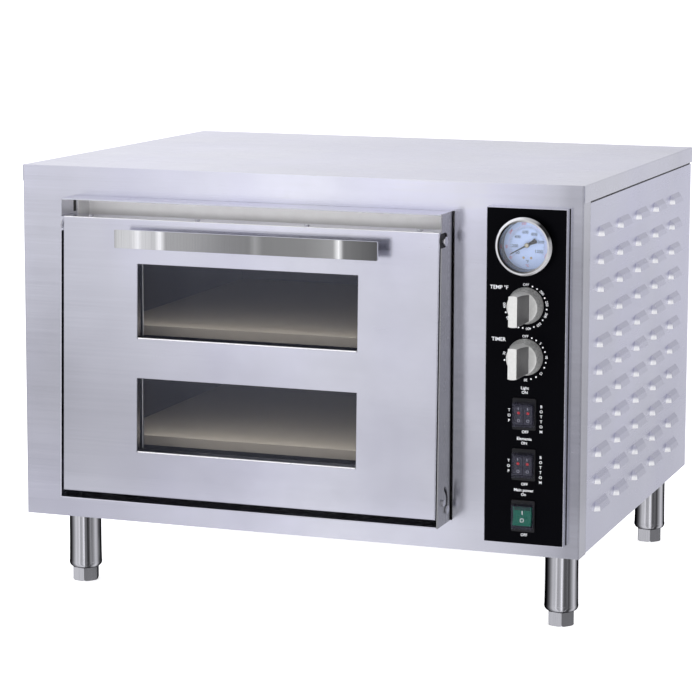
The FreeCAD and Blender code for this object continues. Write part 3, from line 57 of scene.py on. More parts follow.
def add_camera():
    data = bpy.data.cameras.new("camera")
    data.lens = LENS
    data.sensor_width = SENSOR
    data.shift_x, data.shift_y = SHIFT
    camera = bpy.data.objects.new("camera", data)
    turn = (Matrix.Rotation(CAMERA_YAW, 4, "Z") @ Matrix.Rotation(math.pi / 2 - CAMERA_PITCH, 4, "X")
            @ Matrix.Rotation(CAMERA_ROLL, 4, "Z"))
    camera.matrix_world = Matrix.Translation(CAMERA_AT) @ turn
    bpy.context.scene.collection.objects.link(camera)
    bpy.context.scene.camera = camera


# ---------------------------------------------------------------- studio
# Brightness of the studio round the oven: (bearing in degrees from straight in front, positive to the right; tone).
STRIP = ((-180, 1.02), (-160, 1.02), (-120, 0.78), (-88, 0.50), (-62, 0.75), (-49, 0.98), (-36, 0.74),
         (-27, 0.70), (-21.5, 1.25), (-17.5, 0.92), (-13, 0.42), (-4, 0.50), (10, 0.62), (15, 1.35), (20, 0.60),
         (40, 0.26), (47, 0.24), (52, 1.25), (60, 1.25), (66, 0.30), (80, 0.34), (112, 0.78), (150, 0.68),
         (162, 0.66), (180, 0.95))
# Brightness of the ceiling from left to right: (x of the direction, tone).
CEILING = ((-1.0, 0.95), (-0.42, 0.98), (-0.20, 0.70), (0.2, 0.68), (1.0, 0.72))
HORIZON_TOP = 0.14
TINT = (0.985, 0.985, 1.03)


def grey(value):
    return (*(value * t for t in TINT), 1.0)


def add_world():
    """Pale studio: a strip of panels and flags round the horizon, a soft ceiling above it, white to the camera."""
    world = bpy.data.worlds.new("studio")
    bpy.context.scene.world = world
    world.use_nodes = True
    tree = world.node_tree
    tree.nodes.clear()

    def node(kind, **values):
        made = tree.nodes.new(kind)
        for key, value in values.items():
            setattr(made, key, value)
        return made

    def remap(socket, low, high):
        made = node("ShaderNodeMapRange")
        made.inputs["From Min"].default_value = low
        made.inputs["From Max"].default_value = high
        tree.links.new(socket, made.inputs["Value"])
        return made.outputs[0]

    def tones(socket, low, high, table):
        made = node("ShaderNodeValToRGB")
        tree.links.new(remap(socket, low, high), made.inputs[0])
        stops = made.color_ramp.elements
        first, last = table[0][0], table[-1][0]
        for stop, (at, value) in zip((stops[0], stops[1]), (table[0], table[-1])):
            stop.position = (at - first) / (last - first)
            stop.color = grey(value)
        for at, value in table[1:-1]:
            stops.new((at - first) / (last - first)).color = grey(value)
        return made.outputs[0]

    coords = node("ShaderNodeTexCoord")
    split = node("ShaderNodeSeparateXYZ")
    tree.links.new(coords.outputs["Generated"], split.inputs[0])
    flip = node("ShaderNodeMath", operation="MULTIPLY")
    flip.inputs[1].default_value = -1.0
    tree.links.new(split.outputs["Y"], flip.inputs[0])
    bearing = node("ShaderNodeMath", operation="ARCTAN2")
    tree.links.new(split.outputs["X"], bearing.inputs[0])
    tree.links.new(flip.outputs[0], bearing.inputs[1])
    mix = node("ShaderNodeMix", data_type="RGBA")
    tree.links.new(remap(split.outputs["Z"], 0.0, HORIZON_TOP), mix.inputs["Factor"])
    tree.links.new(tones(bearing.outputs[0], -math.pi, math.pi, STRIP), mix.inputs["A"])
    tree.links.new(tones(split.outputs["X"], -1.0, 1.0, CEILING), mix.inputs["B"])
    backdrop = node("ShaderNodeMix", data_type="RGBA")
    backdrop.inputs["B"].default_value = (1.0, 1.0, 1.0, 1.0)
    tree.links.new(node("ShaderNodeLightPath").outputs["Is Camera Ray"], backdrop.inputs["Factor"])
    tree.links.new(mix.outputs["Result"], backdrop.inputs["A"])
    background = node("ShaderNodeBackground")
    tree.links.new(backdrop.outputs["Result"], background.inputs[0])
    out = node("ShaderNodeOutputWorld")
    tree.links.new(background.outputs[0], out.inputs[0])


def area_light(name, at, target, size, power):
    """Soft rectangular lamp that is seen neither by the camera nor in reflections."""
    data = bpy.data.lights.new(name, "AREA")
    data.shape = "RECTANGLE"
    data.size, data.size_y = size
    data.energy = power
    lamp = bpy.data.objects.new(name, data)
    aim = (Vector(target) - Vector(at)).to_track_quat("-Z", "Y")
    lamp.matrix_world = Matrix.Translation(Vector(at)) @ aim.to_matrix().to_4x4()
    lamp.visible_camera = False
    lamp.visible_glossy = False
    bpy.context.scene.collection.objects.link(lamp)


FLOOR_GLOW = 0.72


def add_floor():
    """Pale, softly lit sweep; metal mirrors the studio strip instead of it."""
    half = 40.0
    mesh = bpy.data.meshes.new("floor")
    mesh.from_pydata([(-half, -half, 0), (half, -half, 0), (half, half, 0), (-half, half, 0)], [], [(0, 1, 2, 3)])
    floor = bpy.data.objects.new("floor", mesh)
    floor.visible_glossy = False
    bpy.context.scene.collection.objects.link(floor)
    paper = bpy.data.materials.new("pale_floor")
    paper.use_nodes = True
    shader = paper.node_tree.nodes["Principled BSDF"]
    shader.inputs["Base Color"].default_value = (0.9, 0.9, 0.9, 1)
    shader.inputs["Roughness"].default_value = 0.8
    shader.inputs["Specular IOR Level"].default_value = 0.1
    shader.inputs["Emission Color"].default_value = (1, 1, 1, 1)
    shader.inputs["Emission Strength"].default_value = FLOOR_GLOW
    mesh.materials.append(paper)


# Lamps of the studio: name, place, target, size and watts.
STUDIO_LAMPS = (("front_low", (-0.6, -3.0, 0.55), (-0.05, 0, 0.4), (1.4, 0.8), 16),
                ("overhead", (0.0, 0.3, 2.8), (0, 0, 0.4), (2.6, 2.0), 24))
# Lamps that stand in for light let into the oven, in watts.
CHAMBER_WATTS = (("upper_chamber", 0.066), ("lower_chamber", 0.09))
STONE_WATTS, THROAT_WATTS = 0.018, 0.05
CHAMBER_LAMP, STONE_LAMP, THROAT_LAMP = (0.40, 0.05), (0.40, 0.008), (0.47, 0.006)


def add_inner_lights():
    """Soft lamps inside: along each chamber's top front, on each stone's front, and over the door's head."""
    for name, watts in CHAMBER_WATTS:
        low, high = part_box(name)
        x, y = (low.x + high.x) / 2, low.y - 0.002
        area_light(name + "_top", (x, y, high.z - 0.012), (x, y + 0.062, low.z), CHAMBER_LAMP, watts)
        area_light(name + "_front", (x, y - 0.002, low.z + 0.05), (x, y + 0.024, low.z + 0.02), STONE_LAMP,
                   STONE_WATTS)
    low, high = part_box("surround_top")
    x, y = (low.x + high.x) / 2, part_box("chamber_face")[0].y - 0.03
    area_light("throat", (x, y, high.z - 0.016), (x, y + 0.03, high.z - 0.016), THROAT_LAMP, THROAT_WATTS)


add_camera()
add_world()
add_floor()
bpy.context.scene.view_settings.view_transform = "Standard"
for studio_lamp in STUDIO_LAMPS:
    area_light(*studio_lamp)
add_inner_lights()


# ---------------------------------------------------------------- materials
class Shade:
    """A Principled material with helpers for its node tree."""

    def __init__(self, name, colour, rough, metallic=0.0, **more):
        self.mat = bpy.data.materials.new(name)
        self.mat.use_nodes = True
        self.tree = self.mat.node_tree
        self.bsdf = self.tree.nodes["Principled BSDF"]
        self.set("Base Color", (*colour, 1.0))
        self.set("Roughness", rough)
        self.set("Metallic", metallic)
        for key, value in more.items():
            self.set(key.replace("_", " "), value)
        self.coords = self.node("ShaderNodeTexCoord").outputs["Object"]
        self.normal = None

    def set(self, socket, value):
        self.bsdf.inputs[socket].default_value = value

    def node(self, kind, **values):
        made = self.tree.nodes.new(kind)
        for key, value in values.items():
            if key in made.inputs:
                made.inputs[key].default_value = value
            else:
                setattr(made, key, value)
        return made

    def link(self, a, b):
        self.tree.links.new(a, b)

    def noise(self, stretch, detail=3.0, rough=0.55):
        """Noise whose features are 1/stretch metres along each axis, from 0 to 1."""
        scale = self.node("ShaderNodeMapping")
        scale.inputs["Scale"].default_value = stretch
        self.link(self.coords, scale.inputs["Vector"])
        tex = self.node("ShaderNodeTexNoise", Scale=1.0, Detail=detail, Roughness=rough)
        self.link(scale.outputs[0], tex.inputs["Vector"])
        return tex.outputs["Fac"]

    def axis(self, name):
        """X, Y or Z of the place on the piece, in metres."""
        split = self.node("ShaderNodeSeparateXYZ")
        self.link(self.coords, split.inputs[0])
        return split.outputs[name]

    def math(self, kind, a, b=0.0):
        """Math node on sockets or numbers."""
        made = self.node("ShaderNodeMath", operation=kind)
        for socket, value in zip(made.inputs, (a, b)):
            if isinstance(value, (int, float)):
                socket.default_value = value
            else:
                self.link(value, socket)
        return made.outputs[0]

    def remap(self, value, low, high, from_low=0.3, from_high=0.7):
        """Stretch a value from one range to another; the usual first range is that of a noise."""
        made = self.node("ShaderNodeMapRange")
        for key, number in (("From Min", from_low), ("From Max", from_high), ("To Min", low), ("To Max", high)):
            made.inputs[key].default_value = number
        self.link(value, made.inputs["Value"])
        return made.outputs[0]

    def mix(self, factor, dark, light):
        """Colour between two colours or colour sockets."""
        made = self.node("ShaderNodeMix", data_type="RGBA")
        for key, colour in (("A", dark), ("B", light)):
            if isinstance(colour, tuple):
                made.inputs[key].default_value = (*colour, 1)
            else:
                self.link(colour, made.inputs[key])
        self.link(factor, made.inputs["Factor"])
        return made.outputs["Result"]

    def scaled(self, colour, factor):
        """Colour multiplied by a value socket."""
        made = self.node("ShaderNodeMix", data_type="RGBA", blend_type="MULTIPLY")
        made.inputs["Factor"].default_value = 1.0
        self.link(colour, made.inputs["A"])
        self.link(factor, made.inputs["B"])
        return made.outputs["Result"]

    def profile(self, value, table):
        """Brightness looked up along a value in a table of (position, brightness)."""
        low, high = table[0][0], table[-1][0]
        ramp = self.node("ShaderNodeValToRGB")
        self.link(self.remap(value, 0.0, 1.0, low, high), ramp.inputs[0])
        stops = ramp.color_ramp.elements
        for stop, (at, tone) in zip((stops[0], stops[1]), (table[0], table[-1])):
            stop.position = (at - low) / (high - low)
            stop.color = (tone, tone, tone, 1)
        for at, tone in table[1:-1]:
            stops.new((at - low) / (high - low)).color = (tone, tone, tone, 1)
        return ramp.outputs[0]

    def polar(self, centre):
        """Distance from a centre in the front's plane, and clockwise bearing in degrees from straight up."""
        across = self.math("SUBTRACT", self.axis("X"), centre.x)
        up = self.math("SUBTRACT", self.axis("Z"), centre.z)
        square = self.math("ADD", self.math("MULTIPLY", across, across), self.math("MULTIPLY", up, up))
        bearing = self.math("MULTIPLY", self.math("ARCTAN2", across, up), 180 / math.pi)
        return self.math("SQRT", square), bearing

    def normals(self):
        """Parts of the surface's normal on the piece itself: right, out to the front, up."""
        parts = self.node("ShaderNodeSeparateXYZ")
        self.link(self.node("ShaderNodeTexCoord").outputs["Normal"], parts.inputs[0])
        return parts.outputs["X"], self.math("MULTIPLY", parts.outputs["Y"], -1.0), parts.outputs["Z"]

    def facing(self):
        """Bearing of the surface's normal in degrees from straight in front, positive to the right."""
        right, ahead, _ = self.normals()
        return self.math("MULTIPLY", self.math("ARCTAN2", right, ahead), 180 / math.pi)

    def base(self):
        """What feeds the base colour so far."""
        return self.bsdf.inputs["Base Color"].links[0].from_socket

    def bump(self, height, strength, distance):
        """Add one layer of relief; layers stack on each other and on the rounded edges."""
        made = self.node("ShaderNodeBump", Strength=strength, Distance=distance)
        self.link(height, made.inputs["Height"])
        if self.normal:
            self.link(self.normal, made.inputs["Normal"])
        self.normal = made.outputs[0]
        self.link(self.normal, self.bsdf.inputs["Normal"])

    def soft_edges(self, radius):
        """Round the shading over sharp edges; returns a mask that is 1 on the edges."""
        bevel = self.node("ShaderNodeBevel", Radius=radius)
        bevel.samples = 6
        self.normal = bevel.outputs[0]
        self.link(self.normal, self.bsdf.inputs["Normal"])
        flat = self.node("ShaderNodeNewGeometry").outputs["Normal"]
        dot = self.node("ShaderNodeVectorMath", operation="DOT_PRODUCT")
        self.link(bevel.outputs[0], dot.inputs[0])
        self.link(flat, dot.inputs[1])
        return self.remap(dot.outputs["Value"], 1.0, 0.0, 0.90, 0.995)


STEEL = (0.70, 0.70, 0.805)


def brushed(name, colour, grain, rough=(0.20, 0.28), tone=0.035, clouds=0.07, wave=0.35, fade=None, rise=None):
    """Brushed steel: streaks along the grain, cloudy tone, slightly wavy sheet, and edges lightened partly as wear
    and partly as a painted highlight.

    fade and rise are optional tables of (metres, brightness) along x and up z that paint shade and reflection onto
    the sheet."""
    s = Shade(name, colour, sum(rough) / 2, 1.0)
    wear_and_glint = s.soft_edges(0.0006)
    fine = tuple(5.0 if axis == grain else 700.0 for axis in "xyz")
    coarse = tuple(2.0 if axis == grain else 120.0 for axis in "xyz")
    streak = s.noise(fine, 2.0)
    band = s.noise(coarse, 3.0)
    cloud = s.noise((3.1, 3.1, 4.3), 3.0, 0.55)
    marks = s.noise((46.0, 46.0, 46.0), 5.0, 0.7)
    lines = s.math("ADD", s.remap(streak, -0.5, 0.5), s.remap(band, -0.5, 0.5))
    tone_value = s.math("ADD", s.remap(lines, 1 - tone, 1 + tone, -1.0, 1.0), s.remap(cloud, -clouds, clouds))
    tone_value = s.math("ADD", tone_value, s.remap(marks, -0.012, 0.012))
    drift = s.noise((5.0, 5.0, 3.0), 2.0)
    warmer = (colour[0] * 1.02, colour[1] * 1.025, colour[2] * 0.98)
    sheet = s.mix(s.remap(drift, 0.0, 1.0, 0.38, 0.62), colour, warmer)
    # Edges lightened: partly wear, partly a painted highlight along the folds.
    base = s.mix(s.remap(wear_and_glint, 0.0, 0.45, 0.0, 1.0), sheet, tuple(min(1.0, c * 1.35) for c in colour))
    base = s.scaled(base, tone_value)
    # Painted shade and reflection from the fade and rise tables.
    for axis, table in (("X", fade), ("Z", rise)):
        if table:
            base = s.scaled(base, s.profile(s.axis(axis), table))
    s.link(base, s.bsdf.inputs["Base Color"])
    rough_value = s.math("ADD", s.remap(lines, rough[0], rough[1], -1.0, 1.0), s.remap(marks, -0.02, 0.03))
    s.link(rough_value, s.bsdf.inputs["Roughness"])
    s.bump(s.noise((4.5, 4.5, 5.5), 1.0), wave, 0.004)
    s.bump(lines, 0.05, 0.0003)
    return s


def plain(name, colour, rough, metallic=0.0, grain=220.0, tone=0.10, edge=1.25, relief=0.08, **more):
    """Moulded, plated or baked surface: speckle, uneven gloss, fine relief, and edges lightened partly as rubbed
    wear and partly as a painted highlight.
    """
    s = Shade(name, colour, rough, metallic, **more)
    wear_and_glint = s.soft_edges(0.0004)
    speck = s.noise((grain, grain, grain), 4.0)
    smudge = s.noise((24.0, 24.0, 24.0), 3.0)
    dark = tuple(c * (1 - tone) for c in colour)
    light = tuple(min(1.0, c * (1 + tone)) for c in colour)
    body = s.mix(speck, dark, light)
    # Edges lightened: partly rubbed wear, partly a painted highlight.
    rubbed_and_lit = tuple(min(1.0, c * edge + 0.01) for c in colour)
    s.link(s.mix(s.remap(wear_and_glint, 0.0, 0.5, 0.0, 1.0), body, rubbed_and_lit), s.bsdf.inputs["Base Color"])
    uneven = s.math("ADD", s.remap(speck, rough * 0.85, min(1.0, rough * 1.15)), s.remap(smudge, -0.03, 0.05))
    s.link(uneven, s.bsdf.inputs["Roughness"])
    s.bump(speck, relief, 0.0003)
    return s


def clear(name, colour, rough, alpha, **more):
    """Thin clear sheet with faint smears; it dims what is behind it instead of bending it."""
    s = Shade(name, colour, rough, 0.0, Alpha=alpha, **more)
    smear = s.noise((14.0, 14.0, 14.0), 4.0)
    s.link(s.remap(smear, rough, rough + 0.04), s.bsdf.inputs["Roughness"])
    s.link(s.mix(smear, tuple(c * 0.9 for c in colour), colour), s.bsdf.inputs["Base Color"])
    s.bump(smear, 0.04, 0.0005)
    return s


# Tones that imitate the studio's shading and reflections; they stay fixed to the surface.
# FADE runs along x and RISE up z, in metres; BANDS and the gauge's TONES run round, in degrees.
FRONT_FADE = [(-0.355, 0.95), (-0.30, 0.85), (-0.22, 0.86), (-0.12, 0.98), (0.0, 1.08), (0.15, 1.06), (0.20, 1.06),
              (0.23, 1.04), (0.27, 0.98), (0.325, 0.84), (0.34, 0.71), (0.355, 0.72)]
FRONT_RISE = [(0.09, 0.93), (0.13, 0.95), (0.17, 0.82), (0.24, 0.81), (0.34, 0.95), (0.45, 1.0), (0.49, 1.08),
              (0.505, 1.17), (0.536, 1.19)]
SIDE_RISE = [(0.10, 0.84), (0.30, 0.95), (0.53, 1.0)]
HANDLE_FADE = [(-0.202, 0.66), (-0.197, 0.88), (-0.178, 0.95), (-0.172, 1.3), (-0.166, 0.92), (-0.150, 0.78),
               (-0.143, 1.35), (-0.136, 0.52), (-0.10, 0.45), (-0.06, 0.32), (-0.03, 0.28), (-0.022, 0.42),
               (-0.012, 0.28), (0.04, 0.30), (0.075, 0.42), (0.082, 1.2), (0.088, 0.24), (0.13, 0.13)]
LEG_BANDS = [(-180, 0.9), (-150, 0.5), (-120, 0.95), (-100, 0.6), (-90, 0.04), (-60, 0.06), (-50, 0.22),
             (-40, 0.5), (-30, 0.8), (-10, 0.9), (-5, 1.0), (0, 1.3), (4, 0.36), (10, 0.38), (14, 0.13), (22, 0.13),
             (26, 0.45), (33, 0.8), (45, 1.0), (52, 0.6), (62, 0.15), (90, 0.04), (100, 0.6), (125, 0.95),
             (150, 0.45), (180, 0.9)]
THROAT_RISE = [(0.10, 0.42), (0.468, 0.45), (0.482, 1.0), (0.51, 1.0)]
LIP_TONES = [(-180, 0.12), (-140, 0.04), (-90, 0.02), (-45, 0.03), (-15, 0.35), (10, 0.85), (60, 0.95), (110, 0.9),
             (150, 0.5), (180, 0.12)]
RIM_TONES = [(-180, 0.75), (-130, 0.8), (-100, 1.0), (-40, 1.0), (0, 0.9), (28, 0.55), (38, 0.04), (66, 0.04),
             (78, 0.55), (110, 0.95), (150, 1.0), (180, 0.75)]
# Bearing that the legs' bands are counted from, in degrees, and the tint that dims a leg's grazing reflections.
LEG_TURN = 18.8
EDGE_TINT = (0.10, 0.10, 0.11, 1.0)
# Sizes that the materials follow: the louvres' rows and the height where the painted highlight on their ends fades,
# the bezel's lip, the knobs' blade, barrel and skirt, and the span of the knobs' painted shade.
LOUVRE_FOOT, LOUVRE_PITCH = 142.75 * MM, 32.8 * MM
LOUVRE_GLINT_FADE = (3.0 * MM, 6.5 * MM)
GAUGE_LIP = 30.6 * MM
KNOB_FLOOR, KNOB_SKIRT = 17.0 * MM, 15.5 * MM
KNOB_BLADE_HALF, KNOB_BARREL = 5.0 * MM, 17.85 * MM
KNOB_SHADOW = (2.0 * MM, 21.0 * MM)


def leg_finish():
    """Polished tube: the studio's flags are painted on as upright bands of reflection round it, and its edges are
    lightened as wear and painted highlight.
    """
    s = Shade("leg_steel", (0.66, 0.66, 0.69), 0.16, 1.0, Specular_Tint=EDGE_TINT)
    wear_and_glint = s.soft_edges(0.0005)
    # Painted reflection: bands of the studio's flags, set by which way the surface faces.
    bands = s.profile(s.math("SUBTRACT", s.facing(), LEG_TURN), LEG_BANDS)
    streak = s.noise((900.0, 900.0, 6.0), 2.0)
    cloud = s.noise((30.0, 30.0, 12.0), 3.0)
    # Edges lightened: partly wear, partly a painted highlight.
    base = s.mix(s.remap(wear_and_glint, 0.0, 0.6, 0.0, 1.0), (0.76, 0.76, 0.79), (1.0, 1.0, 1.0))
    base = s.scaled(base, s.math("ADD", s.remap(streak, 0.94, 1.06), s.remap(cloud, -0.05, 0.05)))
    s.link(s.scaled(base, bands), s.bsdf.inputs["Base Color"])
    s.link(s.remap(cloud, 0.12, 0.2), s.bsdf.inputs["Roughness"])
    s.bump(streak, 0.05, 0.0002)
    return s


def chrome_finish(centre):
    """Plated dial bezel: mirror bright, with painted reflection and painted shade round its rim and where the lip
    meets the glass.
    """
    s = Shade("chromed_bezel", (0.9, 0.9, 0.92), 0.04, 1.0)
    radius, bearing = s.polar(centre)
    inner = s.math("LESS_THAN", radius, GAUGE_LIP)
    # Painted reflection and painted shade by bearing, on the lip and on the rim.
    tone = s.mix(inner, s.profile(bearing, RIM_TONES), s.profile(bearing, LIP_TONES))
    cloud = s.noise((160.0, 160.0, 160.0), 3.0)
    base = s.scaled(s.mix(cloud, (0.88, 0.88, 0.90), (1.0, 1.0, 1.0)), tone)
    s.link(base, s.bsdf.inputs["Base Color"])
    s.link(s.remap(cloud, 0.03, 0.07), s.bsdf.inputs["Roughness"])
    s.bump(cloud, 0.02, 0.0002)
    return s


def louvred(name, colour):
    """Brushed side sheet; the louvres' pressed ends carry a painted highlight that turns to painted shade higher
    up, and their brows carry painted shade.
    """
    s = brushed(name, colour, "y", wave=0.15, rise=SIDE_RISE)
    right, ahead, up = s.normals()
    end = s.math("MULTIPLY", s.remap(ahead, 0.0, 1.0, 0.30, 0.55),
                 s.math("GREATER_THAN", s.math("ABSOLUTE", right), 0.35))
    rows = s.math("DIVIDE", s.math("SUBTRACT", s.axis("Z"), LOUVRE_FOOT), LOUVRE_PITCH)
    height = s.math("MULTIPLY", s.math("FRACT", rows), LOUVRE_PITCH)
    glint_fade = s.remap(height, 0.0, 1.0, *LOUVRE_GLINT_FADE)
    # Painted shade on the louvres' brows.
    brow_shade = s.math("MULTIPLY", s.remap(up, 0.0, 1.0, 0.05, 0.6), s.math("SUBTRACT", 1.0, end))
    base = s.mix(s.math("MULTIPLY", brow_shade, 0.40), s.base(), tuple(c * 0.55 for c in colour))
    # Painted highlight on the louvres' ends: white at the foot, fading to painted shade higher up.
    end_glint = s.mix(glint_fade, (1.0, 1.0, 1.0), tuple(c * 0.6 for c in colour))
    s.link(s.mix(end, base, end_glint), s.bsdf.inputs["Base Color"])
    s.link(s.remap(end, 1.0, 0.0, 0.0, 1.0), s.bsdf.inputs["Metallic"])
    return s


def throat_finish():
    """Satin frame behind the door: painted light above the door's head, painted shade below it."""
    s = plain("throat_steel", (0.95, 0.93, 0.93), 0.5, 0.0, grain=60.0)
    # Painted light and shade up the frame, from THROAT_RISE.
    s.link(s.scaled(s.base(), s.profile(s.axis("Z"), THROAT_RISE)), s.bsdf.inputs["Base Color"])
    return s


def strap_finish():
    """Mirror-polished strap: soft streaks, and painted reflections of the studio's flags along its front."""
    s = brushed("polished_strap", (0.72, 0.72, 0.74), "z", (0.07, 0.12), 0.02, 0.03, 0.25)
    front = s.math("GREATER_THAN", s.normals()[1], 0.5)
    # Painted reflection of the studio's flags along the strap's front.
    painted_flags = s.scaled(s.base(), s.profile(s.axis("X"), HANDLE_FADE))
    s.link(s.mix(front, s.base(), painted_flags), s.bsdf.inputs["Base Color"])
    return s


mat = {
    "front": brushed("brushed_front", STEEL, "x", (0.17, 0.26), 0.05, 0.13, 0.45, FRONT_FADE, FRONT_RISE),
    "steel_x": brushed("brushed_steel_across", STEEL, "x"),
    "side": louvred("louvred_side", (0.68, 0.68, 0.83)),
    # Darker copy of the steel with upright grain: painted shade for the right cheek.
    "shaded_steel_z": brushed("brushed_steel_upright_shaded", (0.38, 0.38, 0.405), "z"),
    "mill": brushed("mill_steel", (0.58, 0.58, 0.62), "x", (0.38, 0.5)),
    "face": throat_finish(),
    "polished": strap_finish(),
    "liner": brushed("chamber_liner", (0.43, 0.44, 0.49), "y", (0.34, 0.48), 0.05, 0.12, 0.3),
    "leg": leg_finish(),
    "tray": brushed("brushed_tray", STEEL, "z", wave=0.1),
    "chrome": chrome_finish(middle("gauge_dial")),
    "bright": plain("bright_plated", (0.62, 0.62, 0.66), 0.25, 1.0),
    "overlay": plain("black_overlay", (0.0014, 0.0014, 0.0024), 0.35, grain=900.0, edge=1.0,
                     Specular_IOR_Level=0.03),
    "black": plain("black_plastic", (0.012, 0.012, 0.014), 0.42, Specular_IOR_Level=0.2),
    "rocker": plain("grey_rocker", (0.030, 0.030, 0.042), 0.35, Specular_IOR_Level=0.3),
    "green": plain("green_rocker", (0.0, 0.14, 0.085), 0.30, Specular_IOR_Level=0.25),
    "stone": plain("baking_stone", (0.92, 0.82, 0.68), 0.9, grain=60.0, relief=0.3),
    "wool": plain("mineral_wool", (0.66, 0.60, 0.45), 1.0, grain=90.0, tone=0.3, relief=0.6),
    "sleeve": plain("sleeve_steel", (0.30, 0.31, 0.35), 0.32, 0.9),
    "dark": plain("dark_sleeve", (0.02, 0.02, 0.022), 0.5),
    "heater": plain("heater_tube", (0.06, 0.055, 0.055), 0.6),
    "dial": plain("dial_face", (0.47, 0.60, 0.90), 0.4, tone=0.03, relief=0.02),
    "needle": plain("needle", (0.006, 0.006, 0.008), 0.4, Specular_IOR_Level=0.2),
    "hub": plain("needle_hub", (0.52, 0.48, 0.36), 0.35, 0.6),
    "white": plain("terminal_white", (0.8, 0.78, 0.72), 0.5),
    "rope": plain("rope_seal", (0.7, 0.68, 0.62), 0.9, relief=0.6),
    # The white print glows faintly through its emission: painted light.
    "print": plain("white_print", (0.95, 0.96, 1.0), 0.5, tone=0.04, edge=1.0,
                   Emission_Color=(0.9, 0.92, 1.0, 1.0), Emission_Strength=0.12),
    "print_grey": plain("grey_print", (0.42, 0.43, 0.50), 0.5, tone=0.06, edge=1.0),
    "print_black": plain("black_print", (0.03, 0.04, 0.06), 0.5, tone=0.06, edge=1.0),
    "print_red": plain("red_print", (0.72, 0.10, 0.14), 0.5, tone=0.06, edge=1.0),
    # Near-white strips that stand in for the highlights along the door's folds: painted highlight.
    "lip": plain("painted_fold_highlight", (0.97, 0.97, 1.0), 0.3, 0.2, tone=0.05),
    "rivet": plain("dial_rivet", (0.48, 0.36, 0.22), 0.4, 0.4),
    "ember": plain("red_marker", (0.60, 0.01, 0.01), 0.35),
    "glass": clear("window_glass", (0.06, 0.065, 0.09), 0.03, 0.13),
    "lens": clear("gauge_lens", (0.95, 0.97, 1.0), 0.02, 0.05),
    "boot": clear("switch_boot", (0.06, 0.06, 0.09), 0.2, 0.15, Specular_IOR_Level=0.3),
}


def knob_finish(name, centre):
    """Pale satin knob with painted shade on the flanks beside the grip blade, painted shade across the skirt that
    darkens it to the right, and edges lightened as wear and painted highlight.
    """
    s = Shade(name, (0.80, 0.80, 0.77), 0.34, 0.25)
    wear_and_glint = s.soft_edges(0.0005)
    low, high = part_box("temperature_knob")
    radius = s.polar(centre)[0]
    across = s.math("SUBTRACT", s.axis("X"), centre.x)
    floor_y = high.y - KNOB_FLOOR
    # Painted shade on the flanks beside the blade.
    flank_shade = s.math("MULTIPLY", s.math("LESS_THAN", s.axis("Y"), floor_y - 0.25 * MM),
                   s.math("GREATER_THAN", s.axis("Y"), low.y + 0.25 * MM))
    flank_shade = s.math("MULTIPLY", flank_shade, s.math("GREATER_THAN", s.math("ABSOLUTE", across), KNOB_BLADE_HALF))
    flank_shade = s.math("MULTIPLY", flank_shade, s.math("LESS_THAN", radius, KNOB_BARREL))
    speck = s.noise((900.0, 900.0, 900.0), 4.0)
    mottle = s.noise((260.0, 260.0, 260.0), 4.0, 0.7)
    blotch = s.noise((420.0, 420.0, 420.0), 3.0, 0.8)
    skirt = s.math("GREATER_THAN", s.axis("Y"), high.y - KNOB_SKIRT)
    # Painted shade across the skirt, darker to the right.
    shadow = s.math("MULTIPLY", s.remap(across, 0.0, 1.0, *KNOB_SHADOW), skirt)
    pale = s.mix(mottle, (0.54, 0.54, 0.52), (0.76, 0.76, 0.74))
    dull = s.mix(s.remap(blotch, 0.0, 1.0, 0.40, 0.60), (0.20, 0.20, 0.20), (0.80, 0.80, 0.78))
    pale = s.mix(s.math("MULTIPLY", skirt, 0.62), pale, dull)
    pale = s.mix(s.math("MULTIPLY", shadow, 0.62), pale, (0.08, 0.08, 0.08))
    body = s.mix(flank_shade, pale, (0.10, 0.10, 0.10))
    # Edges lightened: partly wear, partly a painted highlight.
    s.link(s.mix(s.remap(wear_and_glint, 0.0, 0.6, 0.0, 1.0), body, (0.95, 0.95, 0.93)), s.bsdf.inputs["Base Color"])
    s.link(s.remap(mottle, 0.28, 0.42), s.bsdf.inputs["Roughness"])
    s.bump(mottle, 0.25, 0.0004)
    s.bump(speck, 0.08, 0.0002)
    return s


for knob_name in ("temperature_knob", "timer_knob"):
    mat[knob_name] = knob_finish(knob_name + "_finish", middle(knob_name))

# Which material each CAD node wears.
LOOKS = {
    "front": ["front_panel", "door_front_panel"],
    "steel_x": ["top_cover", "surround_top", "surround_bottom", "back_panel", "cheek_left"],
    "tray": ["control_tray"],
    # The right cheek wears the darker copy of the steel, painted shade.
    "shaded_steel_z": ["cheek_right"],
    "side": ["side_panel_left", "side_panel_right"],
    "mill": ["base_tray", "bulkhead", "door_inner_panel", "thermostat_body", "timer_body", "lamp_housings"],
    "face": ["chamber_face"],
    "liner": ["upper_chamber", "lower_chamber"],
    "bright": ["cabinet_fasteners", "sensor_probes", "temperature_shaft", "timer_shaft",
               "handle_standoffs", "hinge_pins", "door_side_pins", "door_screws"],
    "chrome": ["gauge_case"],
    "leg": ["legs", "foot_front_left", "foot_front_right", "foot_rear_left", "foot_rear_right"],
    "wool": ["insulation", "door_insulation"], "stone": ["baking_stones"], "rope": ["door_gasket"],
    "heater": ["upper_elements", "lower_elements"], "sleeve": ["window_sleeves"], "dial": ["gauge_dial"],
    "needle": ["gauge_pointer"], "overlay": ["control_overlay"],
    "temperature_knob": ["temperature_knob"], "timer_knob": ["timer_knob"],
    "black": ["switch_bodies", "cable_gland"], "white": ["terminal_block"],
    "rocker": ["light_rocker_upper", "light_rocker_lower", "element_rocker_upper", "element_rocker_lower"],
    "green": ["power_rocker"], "polished": ["door_handle"],
    "glass": ["door_outer_glass", "door_inner_glass", "lamp_lenses"], "lens": ["gauge_lens"],
    "boot": ["switch_boots"],
}
